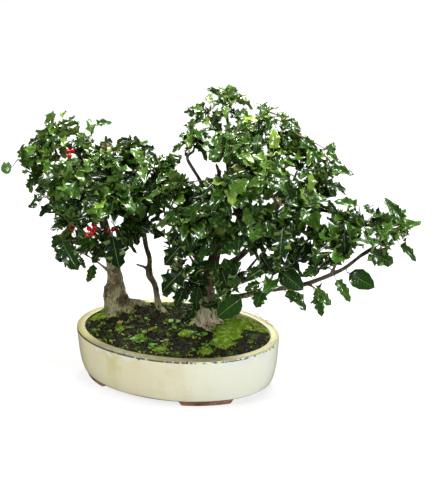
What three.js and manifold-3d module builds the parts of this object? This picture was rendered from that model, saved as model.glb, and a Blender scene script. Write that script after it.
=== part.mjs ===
// A group of three English holly bonsai in a shallow oval pot: a stout, flared trunk on the left, a thin
// crooked one in the middle, and a wide tree on the right with a long low branch. The leaves are spiny, and
// red berries hang in the left crown. Millimetres, +Z up. The plants are laid out from the middle of the
// pot, with the table at z = 0, and the whole group is then centred over its own bounding box.
import * as THREE from 'three';
import { mergeVertices } from 'three/addons/utils/BufferGeometryUtils.js';
import Module from 'manifold-3d';

const wasm = await Module();
wasm.setup();

// Driving dimensions of the pot
const POT_LONG = 175;          // half of the rim's length
const POT_SHORT = 124;         // half of the rim's width
const POT_HEIGHT = 85;
const FOOT_HEIGHT = 8;
const FLOOR_TOP = 17;          // inside floor of the pot
const LIP_WIDTH = 15;
const POT_SIDES = 36;
const FEET_AT = [32, 122, 212, 302];   // degrees round the oval from its right-hand end
const FOOT_LENGTH = 90;
const FOOT_SLANT = 6;          // how much shorter a foot is at each end where it stands
const FOOT_INSET = 14;
const FOOT_WIDTH = 20;
const HOLE_RADIUS = 11;
const HOLE_AT = 72;            // drain holes lie this far left and right of the middle
const SCREEN_SIZE = 34;
const SCREEN_THICK = 1.4;
const SCREEN_OPENINGS = 2;
const SEAT_GAP = 0.3;          // left between pieces that touch

// Driving dimensions of the soil
const SOIL_EDGE_Z = 81;
// Mounds on the soil: x, y, height, spread
const MOUNDS = [
  [-118, 34, 9, 42],
  [-52, 58, 6, 34],
  [-86, 60, 5, 26],
  [48, 20, 10, 48],
  [100, 10, 4, 30],
];

// Wood: each path lists x, y, z and radius from its root to its tip. A limb starts inside the wood it
// grows from.
const LEFT_WOOD = {
  left_trunk: [
    [-121, 31, 42, 22], [-121, 31, 84, 26], [-122, 31, 109, 20.5], [-123.5, 31, 136, 17],
    [-125, 30, 162, 12.5], [-130, 28, 202, 9], [-138, 24, 252, 7.6], [-148, 18, 292, 6.4],
    [-158, 12, 330, 5.2], [-168, 8, 368, 4],
  ],
  left_root_right: [[-112, 29, 100, 12], [-92, 25, 89, 8], [-72, 20, 81, 3]],
  left_root_front: [[-122, 22, 98, 11], [-124, 2, 85, 7.5], [-120, -16, 76, 3]],
  left_root_left: [[-130, 28, 98, 10], [-145, 20, 84, 6], [-149, 10, 76, 2.5]],
};
const MIDDLE_WOOD = {
  middle_trunk: [
    [-40, 50, 42, 7], [-43, 50, 80, 8.5], [-53, 50, 108, 5.6], [-57, 50, 134, 5], [-67, 48, 159, 6],
    [-65, 46, 186, 4.2], [-71, 44, 214, 4.2], [-72, 42, 254, 3.8], [-60, 40, 302, 3.4],
    [-66, 34, 338, 2.8],
  ],
  middle_stub: [[-62, 48, 162, 3.2], [-77, 47, 170, 2.4], [-90, 46, 173, 1.6]],
  middle_root_right: [[-46, 50, 94, 6], [-34, 42, 86, 5], [-22, 36, 77, 2.5]],
};
const RIGHT_WOOD = {
  right_trunk: [
    [47, 20, 42, 20], [47, 20, 84, 22], [45, 20, 108, 16.5], [48, 18, 144, 13], [54, 16, 182, 11],
    [66, 12, 228, 8.6], [78, 6, 282, 7], [94, 0, 335, 5.6], [91, -4, 384, 4.4], [93, -6, 430, 3.2],
  ],
  right_limb_low: [
    [50, 14, 140, 8], [82, -6, 154, 6.4], [118, -22, 166, 5.6], [157, -36, 186, 5.2],
    [195, -46, 199, 4.8], [230, -55, 213, 4.4], [261, -60, 230, 4.1], [291, -62, 249, 3.7],
    [315, -62, 272, 3.3], [340, -59, 292, 2.8],
  ],
  right_limb_middle: [
    [52, 16, 164, 8], [84, 8, 176, 5.8], [114, 0, 184, 5], [148, -5, 205, 4.5], [173, -8, 224, 4.2],
    [210, -10, 248, 3.6], [249, -10, 271, 3],
  ],
  right_limb_upper: [
    [56, 15, 184, 8], [78, 14, 200, 6], [104, 17, 218, 5.3], [130, 28, 252, 4.7],
    [152, 36, 289, 4.1], [180, 40, 331, 3.4],
  ],
  right_limb_left: [[56, 14, 182, 7], [42, 2, 206, 4.8], [28, -10, 238, 4.2], [18, -16, 272, 3.2]],
  right_limb_crooked: [
    [84, 4, 298, 6], [64, -8, 318, 3.4], [47, -18, 355, 2.9], [30, -22, 386, 2.6], [40, -22, 398, 2.2],
  ],
  right_root_front: [[52, 12, 100, 11], [62, -6, 88, 8], [74, -20, 76, 3]],
  right_root_left: [[38, 20, 96, 10], [20, 14, 86, 6.5], [6, 6, 77, 2.5]],
  right_root_right: [[56, 22, 97, 10], [78, 24, 86, 7], [98, 20, 77, 3]],
};
const WOOD = { left_tree: LEFT_WOOD, middle_tree: MIDDLE_WOOD, right_tree: RIGHT_WOOD };
const TRUNK = /_trunk$/;
const ROOT = /_root_/;

// Leafy sprays: name, wood it grows from, share of the way along that wood, middle of the spray, reach of
// its shoots, length of its leaves
const SPRAYS = [
  ['left_apex', 'left_trunk', 1.0, [-197, 4, 395], 32, 28],
  ['left_upper_right', 'left_trunk', 0.9, [-160, 34, 374], 28, 28],
  ['left_upper_left', 'left_trunk', 0.86, [-222, -12, 373], 27, 29],
  ['left_mid_left', 'left_trunk', 0.74, [-251, 14, 332], 50, 32],
  ['left_front', 'left_trunk', 0.72, [-158, -50, 341], 34, 32],
  ['left_back', 'left_trunk', 0.68, [-186, 84, 320], 38, 34],
  ['left_low_left', 'left_trunk', 0.6, [-207, -28, 299], 30, 33],
  ['left_low_front', 'left_trunk', 0.55, [-160, -42, 263], 32, 36],
  ['left_bottom', 'left_trunk', 0.47, [-193, 14, 201], 30, 42],
  ['left_over_trunk', 'left_trunk', 0.44, [-112, -14, 224], 26, 44],
  ['left_right', 'left_trunk', 0.78, [-115, -12, 351], 32, 31],
  ['left_low_right', 'left_trunk', 0.62, [-112, -44, 302], 32, 34],
  ['middle_top', 'middle_trunk', 1.0, [-77, 28, 366], 27, 28],
  ['middle_right', 'middle_trunk', 0.92, [-32, 0, 350], 30, 31],
  ['middle_left', 'middle_trunk', 0.82, [-73, -20, 314], 30, 33],
  ['middle_back', 'middle_trunk', 0.84, [-102, 98, 303], 36, 34],
  ['middle_low', 'middle_trunk', 0.72, [-78, 2, 264], 26, 35],
  ['middle_low_right', 'middle_trunk', 0.76, [-43, 30, 290], 28, 33],
  ['right_apex', 'right_trunk', 1.0, [93, -8, 465], 27, 26],
  ['right_apex_left', 'right_trunk', 0.92, [46, 18, 438], 30, 27],
  ['right_apex_right', 'right_trunk', 0.94, [135, -14, 449], 31, 27],
  ['right_shoulder', 'right_trunk', 0.86, [163, 18, 417], 30, 28],
  ['right_crooked', 'right_limb_crooked', 1.0, [42, -24, 413], 28, 28],
  ['right_upper_front', 'right_trunk', 0.84, [112, -58, 414], 34, 29],
  ['right_upper_back', 'right_trunk', 0.82, [96, 66, 400], 34, 31],
  ['right_upper_right', 'right_limb_upper', 1.0, [198, 38, 382], 32, 29],
  ['right_tip', 'right_limb_upper', 0.86, [232, 10, 357], 32, 31],
  ['right_mid_front', 'right_trunk', 0.76, [160, -58, 379], 34, 32],
  ['right_mid_back', 'right_trunk', 0.7, [128, 96, 342], 36, 34],
  ['right_left_shoulder', 'right_limb_left', 1.0, [20, -26, 326], 32, 33],
  ['right_front', 'right_trunk', 0.68, [107, -72, 351], 34, 34],
  ['right_back', 'right_trunk', 0.64, [29, 80, 285], 38, 35],
  ['right_left_low', 'right_limb_left', 0.8, [30, -58, 284], 30, 37],
  ['right_low_left', 'right_limb_left', 0.62, [63, -44, 283], 36, 38],
  ['right_centre', 'right_trunk', 0.6, [138, -62, 305], 36, 36],
  ['right_side', 'right_limb_upper', 0.78, [212, -28, 332], 32, 34],
  ['right_side_back', 'right_limb_upper', 0.62, [129, 62, 249], 38, 36],
  ['right_limb_end', 'right_limb_middle', 1.0, [271, -8, 304], 32, 35],
  ['right_low_centre', 'right_limb_middle', 0.3, [181, -46, 276], 32, 38],
  ['right_dark_upper', 'right_limb_left', 0.5, [11, -40, 241], 24, 46],
  ['right_dark_lower', 'right_trunk', 0.36, [22, -36, 191], 26, 48],
  ['right_base_front', 'right_limb_low', 0.18, [104, -46, 181], 28, 46],
  ['right_low_middle', 'right_limb_low', 0.36, [184, -66, 228], 27, 44],
  ['branch_middle', 'right_limb_middle', 0.66, [242, -44, 275], 34, 38],
  ['branch_front', 'right_limb_low', 0.7, [291, -74, 278], 24, 38],
  ['branch_upper', 'right_limb_middle', 0.9, [318, 18, 302], 26, 34],
  ['branch_tip', 'right_limb_low', 1.0, [364, -52, 316], 16, 34],
  ['branch_under', 'right_limb_low', 0.86, [346, -74, 289], 22, 36],
  ['branch_hanging', 'right_limb_low', 0.56, [250, -68, 212], 18, 42],
];
const BOUGH_RADIUS = 2.8;       // where a bough leaves its limb
const SHOOT_RADIUS = 1.5;       // where wood ends and the green shoot begins
const BOUGH_WOODY = 0.68;       // share of a bough that is brown wood
const BOUGH_LIFT = 0.12;
const SHOOT_REACH = 0.8;        // how far a shoot runs on past the middle of its spray, of the reach
const LEAF_PLACES = [0.985, 0.82, 0.66, 0.5, 0.34, 0.18];
const GOLDEN_ANGLE = 2.39996;

// Leaf: half outline from the shoot to the tip, as share of length, share of half width, and wave up or down
const LEAF_HALF = [
  [0.13, 0.07, 0], [0.3, 0.84, 1], [0.42, 0.46, -0.2], [0.56, 1, -1], [0.69, 0.44, 0.2], [0.82, 0.64, 1],
];
const LEAF_MIDDLE = 0.5;
const LEAF_HALF_WIDTH = 0.3;    // of its length
const LEAF_FOLD = 0.2;          // how far the halves rise from the midrib
const LEAF_DROOP = 0.16;
const LEAF_WAVE = 0.07;
const LEAF_THICK = 1.5;
const LEAF_CLEARANCE = 2.4;     // extra thickness that a leaf keeps free around it

// Berry clusters: name, spray whose bough carries it, share of that bough, berries, length and lean of the
// stalk
const BERRIES = [
  ['berries_low', 'left_low_right', 0.62, 6, 16, [-0.3, -0.85, -0.45]],
  ['berries_left', 'left_low_left', 0.5, 2, 14, [-0.5, -0.6, -0.5]],
  ['berries_top', 'left_apex', 0.34, 3, 12, [0.15, -1, -0.1]],
  ['berries_right', 'left_low_right', 0.42, 2, 12, [0.85, -0.5, -0.1]],
];
const BERRY_RADIUS = 4.2;
const BERRY_PITCH = 4.1;
const STALK_RADIUS = 1.1;

// Finishes
const glaze = new THREE.MeshStandardMaterial({ color: 0xe9e2c4, roughness: 0.25, metalness: 0 });
const screenBlack = new THREE.MeshStandardMaterial({ color: 0x24262a, roughness: 0.6, metalness: 0 });
const earth = new THREE.MeshStandardMaterial({ color: 0x3a2c1d, roughness: 0.95, metalness: 0 });
const bark = new THREE.MeshStandardMaterial({ color: 0x8a7b66, roughness: 0.85, metalness: 0 });
const leafGreen = new THREE.MeshStandardMaterial({ color: 0x1f5a22, roughness: 0.3, metalness: 0 });
const berryRed = new THREE.MeshStandardMaterial({ color: 0xb3161a, roughness: 0.25, metalness: 0 });

const UP = new THREE.Vector3(0, 0, 1);
const vec = (a) => new THREE.Vector3(a[0], a[1], a[2]);

// A repeatable draw from 0 to 1 for three whole numbers.
function draw(a, b, c) {
  const s = Math.sin(a * 12.9898 + b * 78.233 + c * 37.719) * 43758.5453;
  return s - Math.floor(s);
}

// A closed BufferGeometry as a manifold-3d solid.
function solidOf(geometry) {
  const bare = geometry.index ? geometry.toNonIndexed() : geometry.clone();
  bare.deleteAttribute('normal');
  bare.deleteAttribute('uv');
  const merged = mergeVertices(bare, 1e-4);
  return new wasm.Manifold(new wasm.Mesh({
    numProp: 3,
    vertProperties: new Float32Array(merged.attributes.position.array),
    triVerts: new Uint32Array(merged.index.array),
  }));
}

function union(solids) {
  return wasm.Manifold.union(solids);
}

function meshOf(name, solid, material) {
  const made = solid.getMesh();
  const geometry = new THREE.BufferGeometry();
  const step = made.numProp;
  const places = new Float32Array(made.numVert * 3);
  for (let i = 0; i < made.numVert; i++) {
    places.set(made.vertProperties.subarray(i * step, i * step + 3), i * 3);
  }
  geometry.setAttribute('position', new THREE.BufferAttribute(places, 3));
  geometry.setIndex(new THREE.BufferAttribute(new Uint32Array(made.triVerts), 1));
  const result = new THREE.Mesh(geometry, material);
  result.name = name;
  return result;
}

// A point of the oval that lies inset from the rim's edge. The short sides are drawn in, so that the inset is
// the same all round.
function ovalPoint(inset, angle) {
  const radius = Math.max(POT_LONG - inset, 1e-9);
  const squash = Math.max(radius - (POT_LONG - POT_SHORT), radius * 0.55) / radius;
  return new THREE.Vector2(radius * Math.cos(angle), radius * Math.sin(angle) * squash);
}

// Turns a profile of [inset from the rim's edge, z] about the pot's axis, then draws it in to the oval. An
// inset of null lies on the axis.
function ovalLathe(profile, sides, surface = null) {
  const points = profile.map(([inset, z]) => new THREE.Vector2(inset === null ? 0 : POT_LONG - inset, z));
  const geometry = new THREE.LatheGeometry(points, sides);
  geometry.rotateX(Math.PI / 2);
  const place = geometry.attributes.position;
  for (let i = 0; i < place.count; i++) {
    const x = place.getX(i);
    const y = place.getY(i);
    const radius = Math.hypot(x, y);
    if (radius > 1) place.setY(i, ovalPoint(POT_LONG - radius, Math.atan2(y, x)).y);
    if (surface) place.setZ(i, surface(x, place.getY(i), place.getZ(i)));
  }
  return geometry;
}

// The oval pot with its flat lip, four slanted feet and two drain holes.
function potSolid() {
  const shell = solidOf(ovalLathe([
    [null, FOOT_HEIGHT], [12.5, FOOT_HEIGHT], [9, FOOT_HEIGHT + 4], [4, 32], [1, 64],
    [0, POT_HEIGHT - 2], [1.6, POT_HEIGHT], [LIP_WIDTH - 1.6, POT_HEIGHT], [LIP_WIDTH, POT_HEIGHT - 2],
    [LIP_WIDTH + 1.5, 60], [LIP_WIDTH + 7, 24], [LIP_WIDTH + 13, FLOOR_TOP], [null, FLOOR_TOP],
  ], POT_SIDES));
  const band = solidOf(ovalLathe([
    [FOOT_INSET + FOOT_WIDTH, 0], [FOOT_INSET, 0], [FOOT_INSET, FOOT_HEIGHT + 1],
    [FOOT_INSET + FOOT_WIDTH, FOOT_HEIGHT + 1], [FOOT_INSET + FOOT_WIDTH, 0],
  ], POT_SIDES));
  const half = FOOT_LENGTH / 2;
  const side = new THREE.Shape([
    new THREE.Vector2(-half + FOOT_SLANT, -1), new THREE.Vector2(half - FOOT_SLANT, -1),
    new THREE.Vector2(half, FOOT_HEIGHT + 0.5), new THREE.Vector2(-half, FOOT_HEIGHT + 0.5),
  ]);
  const feet = FEET_AT.map((degrees) => {
    const angle = THREE.MathUtils.degToRad(degrees);
    const middle = ovalPoint(FOOT_INSET + FOOT_WIDTH / 2, angle);
    const along = ovalPoint(FOOT_INSET, angle + 0.1).sub(ovalPoint(FOOT_INSET, angle - 0.1));
    const depth = 4 * FOOT_WIDTH;
    const block = new THREE.ExtrudeGeometry(side, { depth, bevelEnabled: false });
    block.translate(0, 0, -depth / 2);
    block.rotateX(Math.PI / 2);
    block.rotateZ(Math.atan2(along.y, along.x));
    block.translate(middle.x, middle.y, 0);
    return band.intersect(solidOf(block));
  });
  let pot = union([shell, ...feet]);
  for (const x of [-HOLE_AT, HOLE_AT]) {
    const hole = new THREE.CylinderGeometry(HOLE_RADIUS, HOLE_RADIUS, FLOOR_TOP + 10, 16);
    hole.rotateX(Math.PI / 2);
    hole.translate(x, 0, FLOOR_TOP / 2);
    pot = pot.subtract(solidOf(hole));
  }
  return pot;
}

// A square of stiff mesh that keeps the soil in over a drain hole.
function screenSolid(x) {
  const block = (size, cx, cy, thick) => {
    const box = new THREE.BoxGeometry(size, size, thick);
    box.translate(cx, cy, FLOOR_TOP + SEAT_GAP + SCREEN_THICK / 2);
    return solidOf(box);
  };
  const pitch = (SCREEN_SIZE - 2) / SCREEN_OPENINGS;
  const middle = (k) => (k - (SCREEN_OPENINGS - 1) / 2) * pitch;
  let screen = block(SCREEN_SIZE, x, 0, SCREEN_THICK);
  for (let i = 0; i < SCREEN_OPENINGS; i++) {
    for (let j = 0; j < SCREEN_OPENINGS; j++) {
      screen = screen.subtract(block(pitch * 0.74, x + middle(i), middle(j), SCREEN_THICK + 2));
    }
  }
  return screen;
}

// A limb's path as a curve, and its radius at a share of the way along.
function limbOf(rows) {
  const curve = new THREE.CatmullRomCurve3(rows.map(vec), false, 'catmullrom', 0.5);
  const radiusAt = (t) => {
    const k = Math.min(t * (rows.length - 1), rows.length - 1 - 1e-9);
    const i = Math.floor(k);
    return THREE.MathUtils.lerp(rows[i][3], rows[i + 1][3], k - i);
  };
  return { curve, radiusAt, rows };
}

// A closed tapered tube along a curve. ridge gives the radius a factor at a height and an angle.
function taperedTube(curve, radiusAt, sides, steps, ridge = () => 1) {
  const rings = [];
  let across = null;
  for (let i = 0; i <= steps; i++) {
    const t = i / steps;
    const place = curve.getPoint(t);
    const along = curve.getTangent(t);
    if (!across) across = new THREE.Vector3(1, 0, 0).addScaledVector(along, -along.x);
    across.addScaledVector(along, -across.dot(along)).normalize();
    const over = new THREE.Vector3().crossVectors(along, across);
    const ring = [];
    for (let j = 0; j < sides; j++) {
      const angle = (j / sides) * 2 * Math.PI;
      const r = radiusAt(t) * ridge(place.z, angle);
      ring.push(place.clone()
        .addScaledVector(across, r * Math.cos(angle))
        .addScaledVector(over, r * Math.sin(angle)));
    }
    rings.push(ring);
  }
  const places = [];
  const face = (a, b, c) => places.push(...a.toArray(), ...b.toArray(), ...c.toArray());
  for (let i = 0; i < steps; i++) {
    for (let j = 0; j < sides; j++) {
      const k = (j + 1) % sides;
      face(rings[i][j], rings[i][k], rings[i + 1][k]);
      face(rings[i][j], rings[i + 1][k], rings[i + 1][j]);
    }
  }
  for (let j = 1; j < sides - 1; j++) {
    face(rings[0][0], rings[0][j + 1], rings[0][j]);
    face(rings[steps][0], rings[steps][j], rings[steps][j + 1]);
  }
  return new THREE.BufferGeometry().setAttribute('position', new THREE.Float32BufferAttribute(places, 3));
}

// Lumps and furrows of old bark on the stout trunks, fading out higher up.
function barkRidge(z, angle) {
  const fade = THREE.MathUtils.clamp((190 - z) / 60, 0, 1);
  return 1 + fade * (0.07 * Math.sin(3 * angle + z / 14) + 0.05 * Math.sin(5 * angle - z / 9));
}

// The middle line of a spray's bough, from its limb to the middle of the spray, with a slight upward bow.
function boughOf(limb, share, tip, index) {
  const start = limb.curve.getPoint(share);
  const end = vec(tip);
  const reach = start.distanceTo(end);
  const aside = new THREE.Vector3().subVectors(end, start).cross(UP).normalize();
  const bend = start.clone().lerp(end, 0.5).addScaledVector(UP, BOUGH_LIFT * reach)
    .addScaledVector(aside, (draw(index, 1, 0) - 0.5) * 0.3 * reach);
  return new THREE.QuadraticBezierCurve3(start, bend, end);
}

// Part of a curve as a curve of its own.
function stretch(curve, from, to, pieces) {
  const points = [];
  for (let i = 0; i <= pieces; i++) points.push(curve.getPoint(from + ((to - from) * i) / pieces));
  return new THREE.CatmullRomCurve3(points, false, 'catmullrom', 0.5);
}

// A direction at an angle from a given one, turned by roll about it.
function leaning(along, angle, roll) {
  const flat = Math.abs(along.z) > 0.95 ? new THREE.Vector3(1, 0, 0) : UP;
  const side = new THREE.Vector3().crossVectors(along, flat).normalize();
  const over = new THREE.Vector3().crossVectors(side, along);
  const out = side.multiplyScalar(Math.cos(roll)).addScaledVector(over, Math.sin(roll));
  return along.clone().multiplyScalar(Math.cos(angle)).addScaledVector(out, Math.sin(angle)).normalize();
}

// One holly leaf as a thin arched lens: both faces share the spiny outline and split into the same triangles.
function leafGeometry(base, along, face, length, thick) {
  const side = new THREE.Vector3().crossVectors(along, face).normalize();
  const normal = new THREE.Vector3().crossVectors(side, along).normalize();
  const at = (share, width, wave, raise) => base.clone()
    .addScaledVector(along, share * length)
    .addScaledVector(side, width * LEAF_HALF_WIDTH * length)
    .addScaledVector(normal, raise + length * (Math.abs(width) * LEAF_HALF_WIDTH * LEAF_FOLD * 2
      - LEAF_DROOP * share * share + wave * LEAF_WAVE));
  const outline = [at(0, 0, 0, 0)];
  for (const [share, width, wave] of LEAF_HALF) outline.push(at(share, width, wave, 0));
  outline.push(at(1, 0, -0.6, 0));
  for (const [share, width, wave] of [...LEAF_HALF].reverse()) outline.push(at(share, -width, wave, 0));
  const places = [];
  for (const [lift, turn] of [[thick / 2, 1], [-thick / 2, -1]]) {
    const middle = at(LEAF_MIDDLE, 0, 0, lift);
    outline.forEach((point, i) => {
      const next = outline[(i + 1) % outline.length];
      const [a, b] = turn > 0 ? [next, point] : [point, next];
      places.push(...middle.toArray(), ...b.toArray(), ...a.toArray());
    });
  }
  return new THREE.BufferGeometry().setAttribute('position', new THREE.Float32BufferAttribute(places, 3));
}

// Everything already placed, kept to test what is added against it.
const placed = [];

function boxOf(solid) {
  const { min, max } = solid.boundingBox();
  return new THREE.Box3(vec(min), vec(max));
}

function place(node, solid) {
  placed.push({ node, solid, box: boxOf(solid) });
}

function crosses(solid, ownNode) {
  const box = boxOf(solid);
  return placed.some((other) => other.node !== ownNode && other.box.intersectsBox(box)
    && !solid.intersect(other.solid).isEmpty());
}

// Wood of the three trees, with one short bough for each spray.
const limbs = {};
for (const [tree, paths] of Object.entries(WOOD)) {
  for (const [name, rows] of Object.entries(paths)) limbs[name] = { ...limbOf(rows), tree, name };
}
const boughs = SPRAYS.map(([name, limbName, share, tip], i) => {
  const limb = limbs[limbName];
  const root = Math.min(BOUGH_RADIUS, limb.radiusAt(share) * 0.9);
  const radiusAt = (t) => THREE.MathUtils.lerp(root, SHOOT_RADIUS, Math.min(t / BOUGH_WOODY, 1));
  return { name, tree: limb.tree, curve: boughOf(limb, share, tip, i), radiusAt };
});

function limbSolid({ name, curve, radiusAt, rows }) {
  const trunk = TRUNK.test(name);
  const stout = rows[0][3] > 15;
  const steps = trunk ? 11 : rows.length - 1;
  return solidOf(taperedTube(curve, radiusAt, stout ? 8 : 5, steps, stout ? barkRidge : undefined));
}

function boughSolid({ curve, radiusAt }) {
  return solidOf(taperedTube(stretch(curve, 0, BOUGH_WOODY, 2), (t) => radiusAt(t * BOUGH_WOODY), 4, 2));
}

// A trunk or root as the hole that it leaves in the soil: wider all round and a little longer at each end.
function socketSolid({ name, rows }) {
  const ends = [[0, 1], [rows.length - 1, rows.length - 2]];
  const wider = rows.map(([x, y, z, r]) => [x, y, z, r + SEAT_GAP + 0.1]);
  for (const [end, next] of ends) {
    const outward = vec(rows[end]).sub(vec(rows[next])).setLength(SEAT_GAP);
    outward.toArray().forEach((step, axis) => { wider[end][axis] += step; });
  }
  return limbSolid({ ...limbOf(wider), name });
}

const woodSolids = {};
for (const tree of Object.keys(WOOD)) {
  const pieces = [];
  for (const limb of Object.values(limbs)) if (limb.tree === tree) pieces.push(limbSolid(limb));
  for (const bough of boughs) if (bough.tree === tree) pieces.push(boughSolid(bough));
  for (const piece of pieces) {
    if (crosses(piece, tree)) console.error('wood of ' + tree + ' crosses another tree');
  }
  pieces.forEach((piece) => place(tree, piece));
  woodSolids[tree] = union(pieces);
}

// Berries in a spiral round the end of a stalk that stands on a bough's wood.
function berrySolid(bough, share, count, length, lean) {
  const bow = bough.curve.getTangent(share);
  const along = vec(lean).addScaledVector(bow, -vec(lean).dot(bow)).normalize();
  const from = bough.curve.getPoint(share).addScaledVector(along, bough.radiusAt(share) + SEAT_GAP);
  const at = (distance) => from.clone().addScaledVector(along, distance);
  const line = new THREE.LineCurve3(from, at(length + BERRY_PITCH * count));
  const pieces = [solidOf(taperedTube(line, () => STALK_RADIUS, 4, 1))];
  for (let i = 0; i < count; i++) {
    const out = leaning(along, Math.PI / 2, i * GOLDEN_ANGLE);
    const berry = new THREE.SphereGeometry(BERRY_RADIUS, 6, 4);
    berry.applyQuaternion(new THREE.Quaternion().setFromUnitVectors(new THREE.Vector3(0, 1, 0), out));
    berry.translate(...at(length + BERRY_PITCH * i).addScaledVector(out, BERRY_RADIUS + 0.4).toArray());
    pieces.push(solidOf(berry));
  }
  return union(pieces);
}

const berrySolids = {};
for (const [name, spray, share, count, length, lean] of BERRIES) {
  const solid = berrySolid(boughs.find((b) => b.name === spray), share, count, length, lean);
  if (crosses(solid, name)) console.error(name + ' crosses another piece');
  place(name, solid);
  berrySolids[name] = solid;
}

// The pot and the soil come before the leaves, so that leaves stay clear of them.
const pot = potSolid();
place('pot', pot);

function soilSurface(x, y, z) {
  if (z < SOIL_EDGE_Z - 1) return z;
  const edge = Math.hypot(x / (POT_LONG - LIP_WIDTH), y / (POT_SHORT - LIP_WIDTH));
  const inward = THREE.MathUtils.smoothstep(1 - edge, 0, 0.3);
  const mounds = MOUNDS.reduce((sum, [mx, my, height, spread]) => sum
    + height * Math.exp(-((x - mx) ** 2 + (y - my) ** 2) / (2 * spread * spread)), 0);
  return z + inward * (2 + mounds);
}

function soilSolid() {
  const side = (inset) => inset + SEAT_GAP;
  let soil = solidOf(ovalLathe([
    [null, FLOOR_TOP + SEAT_GAP], [side(LIP_WIDTH + 13), FLOOR_TOP + SEAT_GAP], [side(LIP_WIDTH + 7), 24],
    [side(LIP_WIDTH + 1.5), 60], [side(LIP_WIDTH + 0.6), SOIL_EDGE_Z], [side(LIP_WIDTH + 12), SOIL_EDGE_Z],
    [52, SOIL_EDGE_Z], [96, SOIL_EDGE_Z], [null, SOIL_EDGE_Z],
  ], POT_SIDES, soilSurface));
  for (const limb of Object.values(limbs)) {
    if (ROOT.test(limb.name) || TRUNK.test(limb.name)) soil = soil.subtract(socketSolid(limb));
  }
  for (const x of [-HOLE_AT, HOLE_AT]) {
    const pocket = new THREE.BoxGeometry(SCREEN_SIZE + 1, SCREEN_SIZE + 1, SCREEN_THICK + 2 * SEAT_GAP + 2);
    pocket.translate(x, 0, FLOOR_TOP + SCREEN_THICK / 2 + SEAT_GAP - 1);
    soil = soil.subtract(solidOf(pocket));
  }
  return soil;
}

const soil = soilSolid();
place('soil', soil);

// The green shoot of a spray: it goes on from the end of the bough's wood.
function shootOf(bough, reach) {
  const points = [BOUGH_WOODY, (1 + BOUGH_WOODY) / 2, 1].map((t) => bough.curve.getPoint(t));
  points[0].addScaledVector(bough.curve.getTangent(BOUGH_WOODY), SEAT_GAP);
  const onward = bough.curve.getTangent(1).addScaledVector(UP, 0.25).normalize();
  points.push(points[2].clone().addScaledVector(onward, reach * SHOOT_REACH));
  return new THREE.CatmullRomCurve3(points, false, 'catmullrom', 0.5);
}

// One leaf at a place on a shoot, turned about the shoot so that leaf follows leaf in a spiral.
function leafOf(shoot, spray, j, length, turn, thick) {
  const base = shoot.getPoint(LEAF_PLACES[j]);
  const along = shoot.getTangent(LEAF_PLACES[j]);
  const angle = j === 0 ? 0.3 : 0.95 + 0.2 * draw(spray, j, 1);
  const direction = leaning(along, angle, j * GOLDEN_ANGLE + draw(spray, j, 2) + turn);
  const face = UP.clone().addScaledVector(along, 0.6);
  face.x += 0.9 * (draw(spray, j, 3) - 0.5);
  face.y += 0.9 * (draw(spray, j, 4) - 0.5);
  return solidOf(leafGeometry(base, direction, face, length * (0.85 + 0.3 * draw(spray, j, 5)), thick));
}

// Turns about the shoot that are tried, in order, until a leaf is clear of everything else
const TURNS = [0, 0.6, -0.6, 1.2, -1.2, 1.9, -1.9, 2.6, 3.14];
const sprayMeshes = [];
let leafCount = 0;
boughs.forEach((bough, spray) => {
  const [name, , , , reach, length] = SPRAYS[spray];
  const node = 'leaves_' + name;
  const shoot = shootOf(bough, reach);
  const stem = solidOf(taperedTube(shoot, (t) => SHOOT_RADIUS * (1 - 0.45 * t), 3, 3));
  if (crosses(stem, node)) console.error('the shoot of ' + node + ' crosses another piece');
  const pieces = [stem];
  place(node, stem);
  LEAF_PLACES.forEach((share, j) => {
    for (const turn of TURNS) {
      if (crosses(leafOf(shoot, spray, j, length, turn, LEAF_THICK + LEAF_CLEARANCE), node)) continue;
      const leaf = leafOf(shoot, spray, j, length, turn, LEAF_THICK);
      if (pieces.some((piece) => piece !== stem && !leaf.intersect(piece).isEmpty())) continue;
      pieces.push(leaf);
      place(node, leaf);
      leafCount += 1;
      break;
    }
  });
  sprayMeshes.push(meshOf(node, union(pieces), leafGreen));
});
console.error(leafCount + ' leaves');

const group = new THREE.Group();
group.add(meshOf('pot', pot, glaze));
group.add(meshOf('drain_screen_left', screenSolid(-HOLE_AT), screenBlack));
group.add(meshOf('drain_screen_right', screenSolid(HOLE_AT), screenBlack));
group.add(meshOf('soil', soil, earth));
for (const [tree, solid] of Object.entries(woodSolids)) group.add(meshOf(tree, solid, bark));
sprayMeshes.forEach((one) => group.add(one));
for (const [name, solid] of Object.entries(berrySolids)) group.add(meshOf(name, solid, berryRed));

// The origin: the middle of the bounding box, on the table.
const bounds = new THREE.Box3().setFromObject(group);
const middle = bounds.getCenter(new THREE.Vector3());
group.position.set(-middle.x, -middle.y, -bounds.min.z);

export default group;
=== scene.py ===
"""The looks of a group of three English holly bonsai in an oval pot.

The tables give millimetres from the middle of the pot, with the table at z = 0, as the part's solids do. Some
of them place a small piece by where the photograph shows it, in pixels, on the surface that carries it. Each
piece is made in metres, at its place in the row frame.
"""

import sys

import functools
import logging
import math
from dataclasses import dataclass, field
from enum import Enum
from typing import Callable, Iterable, Optional, Sequence, Union

import bmesh
import bpy
import numpy as np
from mathutils import Matrix, Vector, noise

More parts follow.
